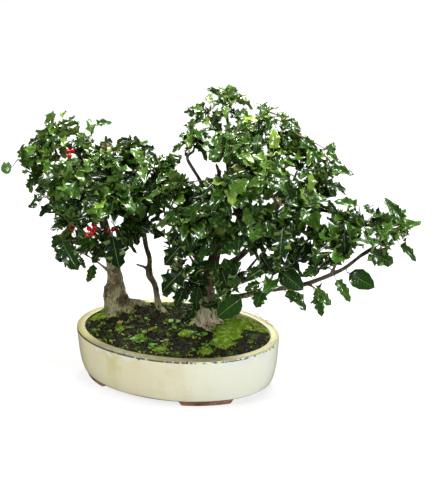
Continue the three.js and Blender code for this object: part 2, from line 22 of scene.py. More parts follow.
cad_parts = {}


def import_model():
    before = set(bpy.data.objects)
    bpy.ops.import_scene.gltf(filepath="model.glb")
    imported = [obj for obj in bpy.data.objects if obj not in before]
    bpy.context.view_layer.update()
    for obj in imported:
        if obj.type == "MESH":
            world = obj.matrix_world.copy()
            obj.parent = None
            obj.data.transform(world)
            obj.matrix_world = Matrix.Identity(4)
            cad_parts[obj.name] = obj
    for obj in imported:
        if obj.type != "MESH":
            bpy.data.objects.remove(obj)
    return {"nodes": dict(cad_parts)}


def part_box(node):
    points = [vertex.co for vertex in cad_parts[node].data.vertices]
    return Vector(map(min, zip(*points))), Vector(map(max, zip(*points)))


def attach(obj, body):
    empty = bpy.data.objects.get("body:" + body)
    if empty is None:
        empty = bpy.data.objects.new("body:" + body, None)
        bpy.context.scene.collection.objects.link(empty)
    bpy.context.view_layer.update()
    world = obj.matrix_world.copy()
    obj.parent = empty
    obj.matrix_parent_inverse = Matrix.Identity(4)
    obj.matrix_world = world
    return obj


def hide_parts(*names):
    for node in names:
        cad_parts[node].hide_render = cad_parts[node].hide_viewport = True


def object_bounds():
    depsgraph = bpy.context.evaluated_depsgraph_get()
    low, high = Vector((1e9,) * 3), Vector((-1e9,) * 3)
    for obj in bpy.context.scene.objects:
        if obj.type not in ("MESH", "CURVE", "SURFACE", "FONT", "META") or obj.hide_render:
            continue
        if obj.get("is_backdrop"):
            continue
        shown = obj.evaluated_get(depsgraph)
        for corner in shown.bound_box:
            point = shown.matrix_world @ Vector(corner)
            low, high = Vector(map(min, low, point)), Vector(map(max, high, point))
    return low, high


LOG = logging.getLogger("holly")
MM = 0.001
UP = Vector((0.0, 0.0, 1.0))
GOLDEN_ANGLE = 2.39996

Row = tuple[float, ...]
Colour = tuple[float, float, float, float]
Piece = bpy.types.Object


class Slot(Enum):
    """Material slots of the record, one of which is passed with each piece here."""

    GLAZE = "glaze"
    SOIL = "soil"
    BARK = "bark"
    LEAF = "leaf"
    BERRY = "berry"


# Wood: each path lists x, y, z and radius from its root to its tip
LEFT_WOOD = {
    "trunk": [
        (-121, 31, 42, 22), (-121, 31, 84, 26), (-122, 31, 104, 21.5), (-124.5, 30, 121, 20),
        (-122.5, 31, 137, 15), (-125, 30, 162, 11.8), (-130, 28, 202, 9), (-138, 24, 252, 7.6),
        (-148, 18, 292, 6.4), (-158, 12, 330, 5.2), (-168, 8, 368, 4),
    ],
    "root_right": [(-112, 29, 100, 12), (-92, 25, 89, 8), (-72, 20, 81, 3)],
    "root_ridge": [(-110, 33, 103, 12), (-92, 44, 99, 10), (-76, 54, 93, 8), (-62, 60, 84, 4.5)],
    "root_front": [(-122, 22, 98, 11), (-124, 2, 85, 7.5), (-120, -16, 76, 3)],
    "root_left": [(-130, 28, 98, 10), (-145, 20, 84, 6), (-149, 10, 76, 2.5)],
}
MIDDLE_WOOD = {
    "trunk": [
        (-40, 50, 42, 7), (-43, 50, 80, 8.5), (-53, 50, 108, 5.6), (-57, 50, 134, 5), (-67, 48, 159, 6),
        (-65, 46, 186, 4.2), (-71, 44, 214, 4.2), (-72, 42, 254, 3.8), (-60, 40, 302, 3.4),
        (-66, 34, 338, 2.8),
    ],
    "stub": [(-62, 48, 162, 3.2), (-77, 47, 170, 2.4), (-90, 46, 173, 1.6)],
    "root_right": [(-46, 50, 94, 6), (-34, 42, 86, 5), (-22, 36, 77, 2.5)],
}
RIGHT_WOOD = {
    "trunk": [
        (47, 20, 42, 20), (47, 20, 84, 22), (45, 20, 108, 16.5), (48, 18, 144, 13), (54, 16, 182, 11),
        (66, 12, 228, 8.6), (78, 6, 282, 7), (94, 0, 335, 5.6), (91, -4, 384, 4.4), (93, -6, 430, 3.2),
    ],
    "limb_low": [
        (50, 14, 140, 8), (82, -6, 154, 6), (118, -22, 166, 5), (157, -36, 186, 4.4), (195, -46, 199, 4),
        (230, -55, 213, 3.6), (261, -60, 230, 3.3), (291, -62, 249, 3), (315, -62, 272, 2.7),
        (340, -59, 292, 2.4),
    ],
    "limb_middle": [
        (52, 16, 164, 8), (84, 8, 176, 5.8), (114, 0, 184, 5), (148, -5, 205, 4.5), (173, -8, 224, 4.2),
        (210, -10, 248, 3.6), (249, -10, 271, 3),
    ],
    "limb_upper": [
        (56, 15, 184, 8), (78, 14, 200, 6), (104, 17, 218, 5.3), (130, 28, 252, 4.7), (152, 36, 289, 4.1),
        (180, 40, 331, 3.4),
    ],
    "limb_left": [(56, 14, 182, 7), (42, 2, 206, 4.8), (28, -10, 238, 4.2), (18, -16, 272, 3.2)],
    "limb_crooked": [
        (84, 4, 298, 6), (64, -8, 318, 3.4), (47, -18, 355, 2.9), (30, -22, 386, 2.6), (40, -22, 398, 2.2),
    ],
    "root_front": [(52, 12, 100, 11), (62, -6, 88, 8), (74, -20, 76, 3)],
    "root_left": [(38, 20, 96, 10), (20, 14, 86, 6.5), (6, 6, 77, 2.5)],
    "root_right": [(56, 22, 97, 10), (78, 24, 86, 7), (98, 20, 77, 3)],
}

# Leafy sprays: name, wood it grows from, share of the way along that wood, middle of the spray, reach of its
# shoots, length of its leaves
SPRAYS = [
    ("left_apex", "left_trunk", 1.0, (-197, 4, 395), 32, 28),
    ("left_upper_right", "left_trunk", 0.9, (-160, 34, 374), 28, 28),
    ("left_upper_left", "left_trunk", 0.86, (-222, -12, 373), 27, 29),
    ("left_mid_left", "left_trunk", 0.74, (-251, 14, 332), 50, 32),
    ("left_front", "left_trunk", 0.72, (-158, -50, 341), 34, 32),
    ("left_back", "left_trunk", 0.68, (-186, 84, 320), 38, 34),
    ("left_low_left", "left_trunk", 0.6, (-207, -28, 299), 30, 33),
    ("left_low_front", "left_trunk", 0.55, (-160, -42, 263), 32, 36),
    ("left_bottom", "left_trunk", 0.47, (-193, 14, 201), 30, 42),
    ("left_over_trunk", "left_trunk", 0.44, (-112, -14, 224), 26, 44),
    ("left_right", "left_trunk", 0.78, (-115, -12, 351), 32, 31),
    ("left_low_right", "left_trunk", 0.62, (-112, -44, 302), 32, 34),
    ("middle_top", "middle_trunk", 1.0, (-77, 28, 366), 27, 28),
    ("middle_right", "middle_trunk", 0.92, (-32, 0, 350), 30, 31),
    ("middle_left", "middle_trunk", 0.82, (-73, -20, 314), 30, 33),
    ("middle_back", "middle_trunk", 0.84, (-102, 98, 303), 36, 34),
    ("middle_low", "middle_trunk", 0.72, (-78, 2, 264), 26, 35),
    ("middle_low_right", "middle_trunk", 0.76, (-43, 30, 290), 28, 33),
    ("right_apex", "right_trunk", 1.0, (93, -8, 465), 27, 26),
    ("right_apex_left", "right_trunk", 0.92, (46, 18, 438), 30, 27),
    ("right_apex_right", "right_trunk", 0.94, (135, -14, 449), 31, 27),
    ("right_shoulder", "right_trunk", 0.86, (163, 18, 417), 30, 28),
    ("right_crooked", "right_limb_crooked", 1.0, (42, -24, 413), 28, 28),
    ("right_upper_front", "right_trunk", 0.84, (112, -58, 414), 34, 29),
    ("right_upper_back", "right_trunk", 0.82, (96, 66, 400), 34, 31),
    ("right_upper_right", "right_limb_upper", 1.0, (198, 38, 382), 32, 29),
    ("right_tip", "right_limb_upper", 0.86, (232, 10, 357), 32, 31),
    ("right_mid_front", "right_trunk", 0.76, (160, -58, 379), 34, 32),
    ("right_mid_back", "right_trunk", 0.7, (128, 96, 342), 36, 34),
    ("right_left_shoulder", "right_limb_left", 1.0, (20, -26, 326), 32, 33),
    ("right_front", "right_trunk", 0.68, (107, -72, 351), 34, 34),
    ("right_back", "right_trunk", 0.64, (29, 80, 285), 38, 35),
    ("right_left_low", "right_limb_left", 0.8, (30, -58, 284), 30, 37),
    ("right_low_left", "right_limb_left", 0.62, (63, -44, 283), 36, 38),
    ("right_centre", "right_trunk", 0.6, (138, -62, 305), 36, 36),
    ("right_side", "right_limb_upper", 0.78, (212, -28, 332), 32, 34),
    ("right_side_back", "right_limb_upper", 0.62, (129, 62, 249), 38, 36),
    ("right_limb_end", "right_limb_middle", 1.0, (271, -8, 304), 32, 35),
    ("right_low_centre", "right_limb_middle", 0.3, (181, -46, 276), 32, 38),
    ("right_dark_upper", "right_limb_left", 0.5, (11, -40, 241), 24, 46),
    ("right_dark_lower", "right_trunk", 0.36, (22, -36, 191), 26, 48),
    ("right_base_front", "right_limb_low", 0.18, (104, -46, 181), 28, 46),
    ("right_low_middle", "right_limb_low", 0.36, (184, -66, 228), 27, 44),
    ("branch_middle", "right_limb_middle", 0.66, (242, -44, 275), 34, 38),
    ("branch_front", "right_limb_low", 0.7, (291, -74, 278), 24, 38),
    ("branch_upper", "right_limb_middle", 0.9, (318, 18, 302), 26, 34),
    ("branch_tip", "right_limb_low", 1.0, (364, -52, 316), 16, 34),
    ("branch_under", "right_limb_low", 0.86, (346, -74, 289), 22, 36),
    ("branch_hanging", "right_limb_low", 0.56, (250, -68, 212), 18, 42),
]
# Share of a full spray's side shoots and leaves that a thinner one has
SPARSE = {
    "right_dark_upper": 0.3, "right_dark_lower": 0.3, "branch_hanging": 0.3, "right_base_front": 0.45,
    "right_low_middle": 0.4, "branch_tip": 0.35, "branch_under": 0.45, "left_bottom": 0.6,
    "left_over_trunk": 0.4, "branch_upper": 0.6, "right_limb_end": 0.75, "branch_middle": 0.75,
    "branch_front": 0.5,
}

# Berry clusters: name, spray whose bough carries it, share of that bough, berries, length of the stalk and
# its lean
BERRIES = [
    ("berries_low", "left_low_right", 0.62, 6, 16, (-0.3, -0.85, -0.45)),
    ("berries_left", "left_low_left", 0.5, 2, 14, (-0.5, -0.6, -0.5)),
    ("berries_top", "left_apex", 0.34, 3, 12, (0.15, -1, -0.1)),
    ("berries_right", "left_low_right", 0.42, 2, 12, (0.85, -0.5, -0.1)),
]

# Outline of the foliage in the photograph, as columns and rows: leaves end inside it
CROWN_EDGE = [
    (104, 264), (97, 264), (93, 284), (84, 262), (68, 273), (62, 259), (51, 253), (54, 238), (53, 215),
    (37, 219), (25, 207), (33, 196), (35, 188), (23, 185), (30, 178), (22, 170), (25, 162), (16, 150),
    (27, 139), (37, 137), (38, 122), (46, 121), (42, 110), (55, 112), (66, 108), (82, 115), (86, 124),
    (98, 118), (106, 124), (104, 137), (118, 143), (122, 135), (147, 136), (157, 152), (176, 154),
    (175, 170), (186, 182), (200, 183), (211, 178), (213, 158), (196, 152), (170, 150), (181, 134),
    (180, 124), (189, 120), (182, 109), (195, 106), (198, 95), (216, 85), (227, 83), (250, 94), (285, 111),
    (297, 127), (306, 137), (319, 137), (323, 145), (331, 142), (341, 157), (333, 168), (352, 167),
    (351, 173), (334, 174), (330, 182), (344, 186), (340, 193), (326, 194), (331, 203), (361, 206),
    (370, 199), (402, 200), (405, 219), (418, 222), (403, 240), (418, 250), (412, 263), (398, 257),
    (376, 267), (362, 259), (350, 267), (375, 272), (374, 293), (351, 286), (353, 301), (334, 288),
    (334, 300), (322, 319), (309, 313), (308, 305), (297, 305), (292, 296), (269, 293), (263, 311),
    (249, 307), (245, 322), (222, 322), (196, 303), (176, 301), (159, 293), (165, 270), (157, 262),
    (165, 238), (172, 231), (167, 217), (163, 222), (158, 234), (150, 241), (128, 245), (126, 257),
    (118, 265),
]
# Openings in the foliage: column, row and radius in the photograph
WINDOWS = [
    (208, 113, 4), (221, 107, 3), (235, 106, 4), (252, 112, 4), (197, 125, 4), (205, 127, 3),
    (279, 127, 4.5), (267, 134, 4), (261, 144, 3), (223, 145, 2), (213, 144, 2), (225, 160, 3),
    (263, 162, 2), (282, 157, 3), (295, 157, 3), (248, 182, 3), (206, 185, 3), (228, 169, 2), (315, 176, 3),
    (303, 236, 3), (306, 229, 2), (308, 245, 3), (312, 252, 2), (315, 234, 2), (324, 234, 2), (336, 208, 4),
    (352, 214, 3), (363, 211, 4), (377, 207, 5), (390, 210, 4), (243, 247, 6), (249, 263, 5), (267, 250, 7),
    (283, 254, 4), (196, 277, 3), (199, 290, 2), (230, 281, 2), (248, 290, 4), (325, 284, 6), (36, 155, 3),
    (35, 164, 3), (41, 146, 2), (78, 155, 2), (57, 172, 2), (41, 195, 3), (47, 195, 3), (74, 203, 2),
    (30, 207, 4), (50, 212, 3), (115, 224, 3), (121, 218, 4), (134, 173, 3), (151, 174, 4), (154, 190, 3),
    (153, 200, 3), (163, 212, 3), (153, 225, 3), (146, 226, 2), (142, 215, 2), (94, 238, 3), (76, 247, 4),
    (90, 257, 4), (63, 237, 2), (102, 225, 2), (123, 164, 2), (137, 163, 2), (97, 133, 6), (114, 143, 3),
    (158, 255, 7), (163, 270, 4), (159, 240, 5), (188, 130, 3), (192, 116, 3), (22, 187, 4), (365, 212, 5),
    (399, 247, 4), (98, 139, 5), (113, 140, 4), (375, 204, 5), (388, 207, 5), (399, 239, 5),
]

# Single leaves that stand out, by the spray that carries them: column and row of the base and of the tip in
# the photograph, y, width, age and shape
LONE_LEAVES = [
    ("left_mid_left", [(13, 166, 0, 169, 12, 1.75, 0.5, 4)]),
    ("left_upper_right", [(96, 124, 107, 121, 20, 1.0, 0.5, 2)]),
    ("left_low_left", [(60, 238, 76, 268, -30, 1.0, 0.85, 0), (57, 232, 56, 254, -26, 1.0, 0.8, 2)]),
    ("left_bottom", [(94, 262, 89, 284, 0, 0.9, 0.75, 2)]),
    ("left_over_trunk", [(112, 232, 118, 268, -22, 1.1, 1.0, 1), (104, 244, 109, 262, -18, 1.0, 0.9, 2)]),
    ("right_dark_upper", [(186, 240, 163, 265, -44, 1.0, 1.0, 1), (184, 225, 168, 246, -40, 1.0, 1.0, 0)]),
    ("right_dark_lower", [(187, 266, 160, 292, -40, 1.1, 1.0, 1), (186, 286, 174, 308, -44, 1.1, 1.0, 0),
        (199, 284, 193, 312, -46, 1.0, 0.95, 2), (196, 306, 184, 325, -40, 1.0, 1.0, 3)]),
    ("right_base_front", [(244, 296, 216, 317, -56, 1.15, 0.8, 4), (234, 290, 212, 300, -52, 1.0, 0.85, 1),
        (264, 287, 255, 308, -50, 1.3, 0.8, 0)]),
    ("right_crooked", [(183, 144, 171, 151, -24, 1.0, 0.5, 2)]),
    ("right_low_middle", [(283, 225, 280, 260, -74, 1.05, 0.9, 1),
        (277, 269, 302, 288, -66, 1.05, 0.9, 4)]),
    ("branch_hanging", [(284, 290, 307, 304, -60, 0.9, 0.7, 3), (313, 289, 330, 303, -64, 1.0, 0.5, 0),
        (317, 291, 321, 316, -66, 0.9, 0.7, 2)]),
    ("branch_front", [(335, 278, 350, 299, -66, 0.85, 0.5, 2), (319, 265, 303, 277, -66, 1.0, 0.8, 1),
        (347, 272, 373, 286, -68, 1.1, 0.8, 4)]),
    ("branch_under", [(366, 252, 392, 262, -70, 1.1, 0.8, 1)]),
    ("branch_tip", [(399, 243, 416, 257, -60, 0.8, 0.65, 2), (403, 221, 389, 202, -56, 0.9, 0.7, 2),
        (400, 228, 418, 222, -54, 0.8, 0.4, 0)]),
    ("branch_upper", [(359, 206, 338, 199, -20, 0.9, 0.5, 2)]),
    ("right_low_left", [(220, 236, 239, 252, -46, 1.0, 0.6, 0), (236, 240, 221, 258, -48, 1.0, 0.75, 3),
        (216, 242, 204, 257, -46, 1.0, 0.8, 0)]),
    ("right_low_middle", [(266, 266, 246, 279, -60, 1.0, 0.8, 1), (262, 282, 244, 290, -58, 1.0, 0.7, 0)]),
    ("right_dark_lower", [(184, 278, 187, 301, -36, 1.0, 0.9, 0)]),
    ("left_bottom", [(105, 245, 91, 263, -8, 1.0, 0.95, 1), (92, 240, 79, 252, -6, 1.0, 0.85, 0)]),
    ("right_front", [(246, 188, 262, 201, -66, 1.0, 0.6, 0), (277, 187, 262, 197, -68, 1.0, 0.5, 2)]),
    ("right_left_low", [(206, 245, 199, 262, -50, 0.9, 0.7, 2)]),
    ("right_left_shoulder", [(231, 205, 243, 222, -52, 0.9, 1.3, 3)]),
    ("right_front", [(270, 196, 283, 202, -70, 0.8, 1.3, 3)]),
    ("left_right", [(102, 150, 109, 143, -22, 0.9, 1.3, 3)]),
    ("left_low_right", [(83, 214, 92, 210, -50, 0.8, 1.25, 2)]),
    ("right_left_shoulder", [(219, 180, 219, 167, -30, 0.7, 1.3, 2)]),
    ("right_upper_front", [(228, 172, 242, 167, -66, 0.9, 0.0, 0),
        (242, 121, 255, 116, -66, 0.9, 0.02, 3)]),
    ("middle_low_right", [(214, 226, 224, 236, -50, 1.0, 0.05, 4)]),
    ("left_upper_left", [(40, 139, 26, 142, -10, 0.8, 0.8, 2)]),
    ("left_mid_left", [(42, 178, 23, 186, 0, 0.9, 0.9, 2), (50, 188, 34, 192, -6, 0.9, 0.95, 3),
        (39, 205, 27, 206, -4, 1.0, 0.85, 0)]),
    ("left_low_left", [(58, 204, 35, 214, -20, 0.8, 0.95, 2)]),
    ("left_right", [(132, 141, 117, 139, -8, 0.8, 0.9, 2)]),
    ("middle_top", [(139, 147, 135, 137, 10, 1.2, 0.8, 0), (156, 149, 141, 146, 10, 0.8, 0.95, 2),
        (146, 151, 158, 159, 6, 0.8, 0.7, 2)]),
    ("middle_right", [(166, 168, 178, 158, -6, 1.2, 0.85, 1)]),
    ("right_apex_left", [(196, 113, 184, 111, -4, 0.8, 0.8, 2), (219, 93, 208, 88, -8, 1.0, 0.7, 0)]),
    ("right_shoulder", [(303, 138, 316, 147, -10, 0.9, 0.7, 2), (329, 151, 332, 143, -4, 1.0, 0.4, 3)]),
    ("right_tip", [(324, 153, 340, 159, -10, 0.7, 0.5, 2), (331, 167, 350, 171, -8, 0.8, 0.6, 2),
        (326, 184, 344, 188, -10, 0.9, 0.8, 0)]),
    ("right_side", [(326, 199, 337, 213, -34, 0.7, 0.9, 2)]),
    ("right_apex_right", [(287, 120, 300, 127, -18, 0.9, 0.7, 0)]),
    ("left_bottom", [(68, 252, 69, 270, -6, 1.1, 0.9, 0), (80, 256, 84, 268, -6, 0.9, 0.85, 2)]),
]
# Wood that stays in sight: limb, shares of its way between which no nearer leaf covers it, reach in pixels
SHOWN_WOOD = [("right_limb_low", 0.12, 0.97, 4.6), ("right_limb_middle", 0.3, 0.66, 3.2)]
# Other places that stay in sight: column, row and reach in the photograph, y of what shows there
SHOWN_SPOTS = [(208, 272, 5, 0), (210, 285, 5, 0), (213, 318, 6, -8), (216, 328, 6, -8), (106, 143, 6, -16)]
# Bare twigs: limb or spray that carries each, share of the way along it, column and row of its end, y, radius
# at its foot and at its end
BARE_TWIGS = [
    ("left_right", 0.66, (106, 136), -18, 3.2, 2.3), ("right_trunk", 0.38, (180, 242), -34, 3.0, 1.6),
    ("right_trunk", 0.36, (262, 237), -34, 3.6, 1.8), ("right_limb_middle", 0.2, (296, 251), -30, 3.2, 1.6),
]


def draw(a: float, b: float, c: float) -> float:
    """Gives a repeatable number from 0 to 1 for three numbers."""
    s = math.sin(a * 12.9898 + b * 78.233 + c * 37.719) * 43758.5453
    return s - math.floor(s)


def srgb(code: str) -> Colour:
    """Gives the linear colour of a hex code."""
    parts = [int(code[i:i + 2], 16) / 255 for i in (1, 3, 5)]
    red, green, blue = [c / 12.92 if c <= 0.04045 else ((c + 0.055) / 1.055) ** 2.4 for c in parts]
    return red, green, blue, 1.0


def smoothstep(x: float, low: float, high: float) -> float:
    """Goes smoothly from 0 at low to 1 at high."""
    t = min(max((x - low) / (high - low), 0.0), 1.0)
    return t * t * (3 - 2 * t)


@functools.lru_cache(maxsize=None)
def pot_middle() -> Vector:
    """Gives the middle of the pot's foot in the row frame, in metres."""
    low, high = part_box("pot")
    return Vector(((low.x + high.x) / 2, (low.y + high.y) / 2, 0.0))


def in_row(point: Sequence[float]) -> Vector:
    """Takes a point from millimetres round the pot to metres in the row frame."""
    return Vector(point) * MM + pot_middle()


# Node trees


class Wire:
    """An output of a node, on which sums are written as on a number."""

    def __init__(self, graph: "Graph", plug: bpy.types.NodeSocket) -> None:
        """Keeps the graph and the node's output."""
        self.graph = graph
        self.plug = plug

    def with_other(self, operation: str, other: "Operand") -> "Wire":
        """Adds a Math node for this and another number."""
        return self.graph.math(operation, self, other)

    __add__ = __radd__ = functools.partialmethod(with_other, "ADD")
    __mul__ = __rmul__ = functools.partialmethod(with_other, "MULTIPLY")
    __sub__ = functools.partialmethod(with_other, "SUBTRACT")

    def __rsub__(self, other: "Operand") -> "Wire":
        """Subtracts this from other."""
        return self.graph.math("SUBTRACT", other, self)

    def __abs__(self) -> "Wire":
        """Drops the sign."""
        return self.graph.math("ABSOLUTE", self)

    def rise(self, low: float, high: float) -> "Wire":
        """Goes smoothly from 0 where this is low to 1 where it is high, or back if low is the larger."""
        flip = low > high
        feeds = {"Value": self, "From Min": min(low, high), "From Max": max(low, high)}
        feeds |= {"To Min": 1.0 if flip else 0.0, "To Max": 0.0 if flip else 1.0}
        return self.graph.node("ShaderNodeMapRange", {"interpolation_type": "SMOOTHSTEP"}, feeds)


Operand = Union[Wire, float]
Feed = Union[Wire, list, float, int, bool, str, Sequence[float], bpy.types.ID, None]


class Graph:
    """A node tree that is built from Python."""

    def __init__(self, tree: bpy.types.NodeTree) -> None:
        """Keeps the tree."""
        self.tree = tree

    @staticmethod
    def plug(plugs: bpy.types.NodeInputs, key: Union[int, str]) -> bpy.types.NodeSocket:
        """Finds a socket by its number, identifier or name."""
        if isinstance(key, int):
            return plugs[key]
        return next(p for p in plugs if p.enabled and key in (p.identifier, p.name))

    def feed(self, node: bpy.types.Node, key: Union[int, str], value: Feed) -> None:
        """Links a wire, or each wire of a list, to a node's input, or sets the input's value."""
        plug = self.plug(node.inputs, key)
        wires = value if isinstance(value, list) else [value]
        if isinstance(wires[0], Wire):
            for wire in wires:
                self.tree.links.new(wire.plug, plug)
        else:
            plug.default_value = value

    def node(self, kind: str, settings: Optional[dict] = None, feeds: Optional[dict] = None,
             output: Union[int, str] = 0) -> Wire:
        """Adds a node.

        Args:
            kind: The node's type.
            settings: Its properties, which are set first. "stops" gives a ramp's places and colours.
            feeds: A value or wire for each of its inputs that isn't left alone.
            output: The output that is wanted.

        Returns:
            That output.
        """
        made = self.tree.nodes.new(kind)
        for key, value in (settings or {}).items():
            if key == "stops":
                ramp = made.color_ramp.elements
                while len(ramp) < len(value):
                    ramp.new(1.0)
                for stop, (place, colour) in zip(ramp, value):
                    stop.position, stop.color = place, colour
            else:
                setattr(made, key, value)
        for key, value in (feeds or {}).items():
            self.feed(made, key, value)
        return Wire(self, self.plug(made.outputs, output))

    def math(self, operation: str, *operands: Operand) -> Wire:
        """Adds a Math node for one or two operands."""
        return self.node("ShaderNodeMath", {"operation": operation}, dict(enumerate(operands)))

    def vector(self, operation: str, first: Wire, second: Sequence[float], output: str = "Vector") -> Wire:
        """Adds a Vector Math node for a wire and a fixed vector."""
        return self.node("ShaderNodeVectorMath", {"operation": operation}, {0: first, 1: second}, output)

    def mix(self, factor: Operand, first: Feed, second: Feed) -> Wire:
        """Mixes two colours."""
        feeds = {"Factor_Float": factor, "A_Color": first, "B_Color": second}
        return self.node("ShaderNodeMix", {"data_type": "RGBA"}, feeds, "Result_Color")

    def object_place(self) -> Wire:
        """Gives the place on the object, in metres."""
        return self.node("ShaderNodeTexCoord", output="Object")

    def axes(self, place: Wire) -> list[Wire]:
        """Splits a vector in x, y and z."""
        split = self.node("ShaderNodeSeparateXYZ", feeds={0: place}).plug.node
        return [Wire(self, plug) for plug in split.outputs]

    def noise(self, scale: float, detail: float = 3.0, place: Optional[Wire] = None,
              rough: float = 0.55) -> Wire:
        """Gives soft noise about 0.5, with grains of 1 / scale metres unless place is given."""
        feeds = {"Vector": place or self.object_place(), "Scale": scale, "Detail": detail, "Roughness": rough}
        return self.node("ShaderNodeTexNoise", feeds=feeds, output="Fac")

    def value(self, name: str) -> Wire:
        """Reads a number kept on the piece's points or faces."""
        return self.node("ShaderNodeAttribute", {"attribute_name": name}, output="Fac")

    def bump(self, height: Wire, strength: float, distance: float) -> Wire:
        """Turns a height into a normal. Distance is in metres."""
        feeds = {"Strength": strength, "Distance": distance, "Height": height}
        return self.node("ShaderNodeBump", feeds=feeds)


# Finishes


@dataclass(frozen=True)
class Finish:
    """A surface finish: a name, and what paint() gives the shader's inputs."""

    name: str

    def paint(self, graph: Graph) -> dict[str, Feed]:
        """Builds the nodes, and gives a wire or a value for each input of the shader."""
        raise NotImplementedError

    @functools.lru_cache(maxsize=None)
    def material(self) -> bpy.types.Material:
        """Makes the material once."""
        made = bpy.data.materials.new(self.name)
        made.use_nodes = True
        graph = Graph(made.node_tree)
        for key, value in self.paint(graph).items():
            graph.feed(made.node_tree.nodes["Principled BSDF"], key, value)
        return made


@dataclass(frozen=True)
class IvoryGlaze(Finish):
    """Thick ivory glaze: cream, paler towards the right end partly as painted glare of the light on that
    side, warmer to the left, streaked down the wall and worn dark along the rim.

    It ends above the foot, where the clay is bare. Its lip is painted darker towards the front, as a painted
    reflection of the dark foliage over it.
    """

    name: str = "ivory_glaze"
    # pale: the glaze's own tone, laid towards the right end as painted glare of the light there
    pale: Colour = srgb("#e3e5d3")
    cream: Colour = srgb("#d2ccab")
    warm: Colour = srgb("#ccc598")
    olive: Colour = srgb("#bab477")
    blue: Colour = srgb("#d3dde0")
    lip: Colour = srgb("#b1aa64")
    # Darker lip colour towards the front: painted reflection of the dark foliage over the lip
    lip_painted_reflection: Colour = srgb("#6b684a")
    worn: Colour = srgb("#34331f")
    clay: Colour = srgb("#5d4334")
    # Chips and stains: angle on the oval in degrees, height and reach in metres
    chips: tuple[Row, ...] = (
        (255, 0.0845, 0.0032), (264, 0.0815, 0.0028), (290, 0.085, 0.003), (281, 0.057, 0.0012),
        (237, 0.0735, 0.001), (247, 0.0835, 0.0026), (222, 0.083, 0.003),
    )

    def chipped(self, graph: Graph, place: Wire) -> Wire:
        """Builds how far a point lies in one of the chips."""
        total: Operand = 0.0
        for degrees, height, reach in self.chips:
            spot = in_row((*Pot().oval(0.0, math.radians(degrees)), height / MM))
            total = graph.vector("DISTANCE", place, spot, "Value").rise(reach, reach * 0.5) + total
        return total

    def paint(self, graph: Graph) -> dict[str, Feed]:
        """Builds the glaze."""
        place = graph.object_place()
        x, y, z = graph.axes(place)
        middle = pot_middle()
        right = (x - middle.x) * 0.95 + (y - middle.y) * 0.31
        cloudy = graph.noise(14, 3)
        # Cream going paler towards the right end: partly the glaze's own tone, partly painted glare of the
        # light on that side
        tint = graph.mix((right + cloudy * 0.16).rise(0.21, -0.02), self.pale, self.cream)
        streak = graph.noise(1, 4, graph.vector("MULTIPLY", place, (34, 34, 14)))
        blotch = graph.noise(30, 3)
        stained = (streak * 0.6 + blotch * 0.4).rise(0.44, 0.62) * right.rise(0.1, -0.06)
        tint = graph.mix(stained * 0.85, tint, self.warm)
        olive = (streak * 0.35 + cloudy * 0.65).rise(0.55, 0.66) * right.rise(0.06, -0.1)
        tint = graph.mix(olive * 0.42, tint, self.olive)
        tint = graph.mix(z.rise(0.066, 0.078) * blotch.rise(0.5, 0.6) * 0.5, tint, self.blue)
        grime = graph.noise(160, 4)
        # The lip is painted darker towards the front, as a painted reflection of the dark foliage over it
        front = (y - middle.y - (x - middle.x) * 0.2).rise(-0.03, -0.09) * right.rise(0.13, 0.04)
        lip = graph.mix(front * 0.9, self.lip, self.lip_painted_reflection)
        top = z.rise(0.0838, 0.0848)
        tint = graph.mix(top * (0.72 + grime * 0.5), tint, lip)
        edge = z.rise(0.0808, 0.082) * z.rise(0.0849, 0.0838)
        tint = graph.mix(edge * (grime + right * 1.1).rise(0.66, 0.52) * 0.94, tint, self.worn)
        tint = graph.mix(self.chipped(graph, place) * 0.9, tint, self.worn)
        speck = graph.noise(420, 2).rise(0.71, 0.75)
        tint = graph.mix(speck * graph.noise(30, 1).rise(0.5, 0.62), tint, self.worn)
        foot = (z + cloudy * 0.004).rise(0.0135, 0.0115)
        tint = graph.mix(foot, tint, self.clay)
        return {
            "Base Color": tint,
            "Roughness": 0.13 + grime * 0.14 + foot * 0.4 + top * 0.2 + top * front * 0.4,
            "Coat Weight": 0.35 - top * 0.35,
            "Normal": graph.bump(cloudy + graph.noise(70, 2) * 0.35, 0.35, 0.004),
            "Coat Roughness": 0.08,
        }


@dataclass(frozen=True)
class FiredClay(Finish):
    """Unglazed red-brown clay of the feet."""

    name: str = "fired_clay"
    red: Colour = srgb("#8a5f48")
    dark: Colour = srgb("#4f3426")
    grit: Colour = srgb("#c9ad8c")

    def paint(self, graph: Graph) -> dict[str, Feed]:
        """Builds the clay."""
        grain = graph.noise(260, 5)
        tint = graph.mix(graph.noise(45, 3).rise(0.35, 0.68), self.red, self.dark)
        tint = graph.mix(grain.rise(0.62, 0.7) * 0.7, tint, self.grit)
        return {
            "Base Color": tint,
            "Roughness": 0.7 + grain * 0.25,
            "Normal": graph.bump(grain, 0.5, 0.0012),
        }


@dataclass(frozen=True)
class MossySoil(Finish):
    """Dark crumbly soil with grit, going over to moss where the piece's moss value says so."""

    name: str = "mossy_soil"
    wet: Colour = srgb("#0d0c06")
    dry: Colour = srgb("#2b2713")
    grit: Colour = srgb("#6d6848")
    moss_dark: Colour = srgb("#3f5f0e")
    moss_light: Colour = srgb("#a9c63a")

    def paint(self, graph: Graph) -> dict[str, Feed]:
        """Builds the soil."""
        crumb = graph.noise(190, 5)
        fine = graph.noise(620, 3)
        earth = graph.mix(crumb.rise(0.38, 0.66), self.wet, self.dry)
        earth = graph.mix(graph.noise(60, 3).rise(0.5, 0.68) * 0.6, earth, self.moss_dark)
        earth = graph.mix(fine.rise(0.68, 0.74), earth, self.grit)
        green = graph.mix(graph.noise(330, 4).rise(0.36, 0.66), self.moss_dark, self.moss_light)
        moss = (graph.value("moss") + (crumb - 0.5) * 0.9).rise(0.38, 0.56)
        return {
            "Base Color": graph.mix(moss, earth, green),
            "Roughness": 0.72 + fine * 0.28,
            "Normal": graph.bump(crumb + fine * 0.4, 0.9, 0.0025),
            "Specular IOR Level": 0.15,
        }


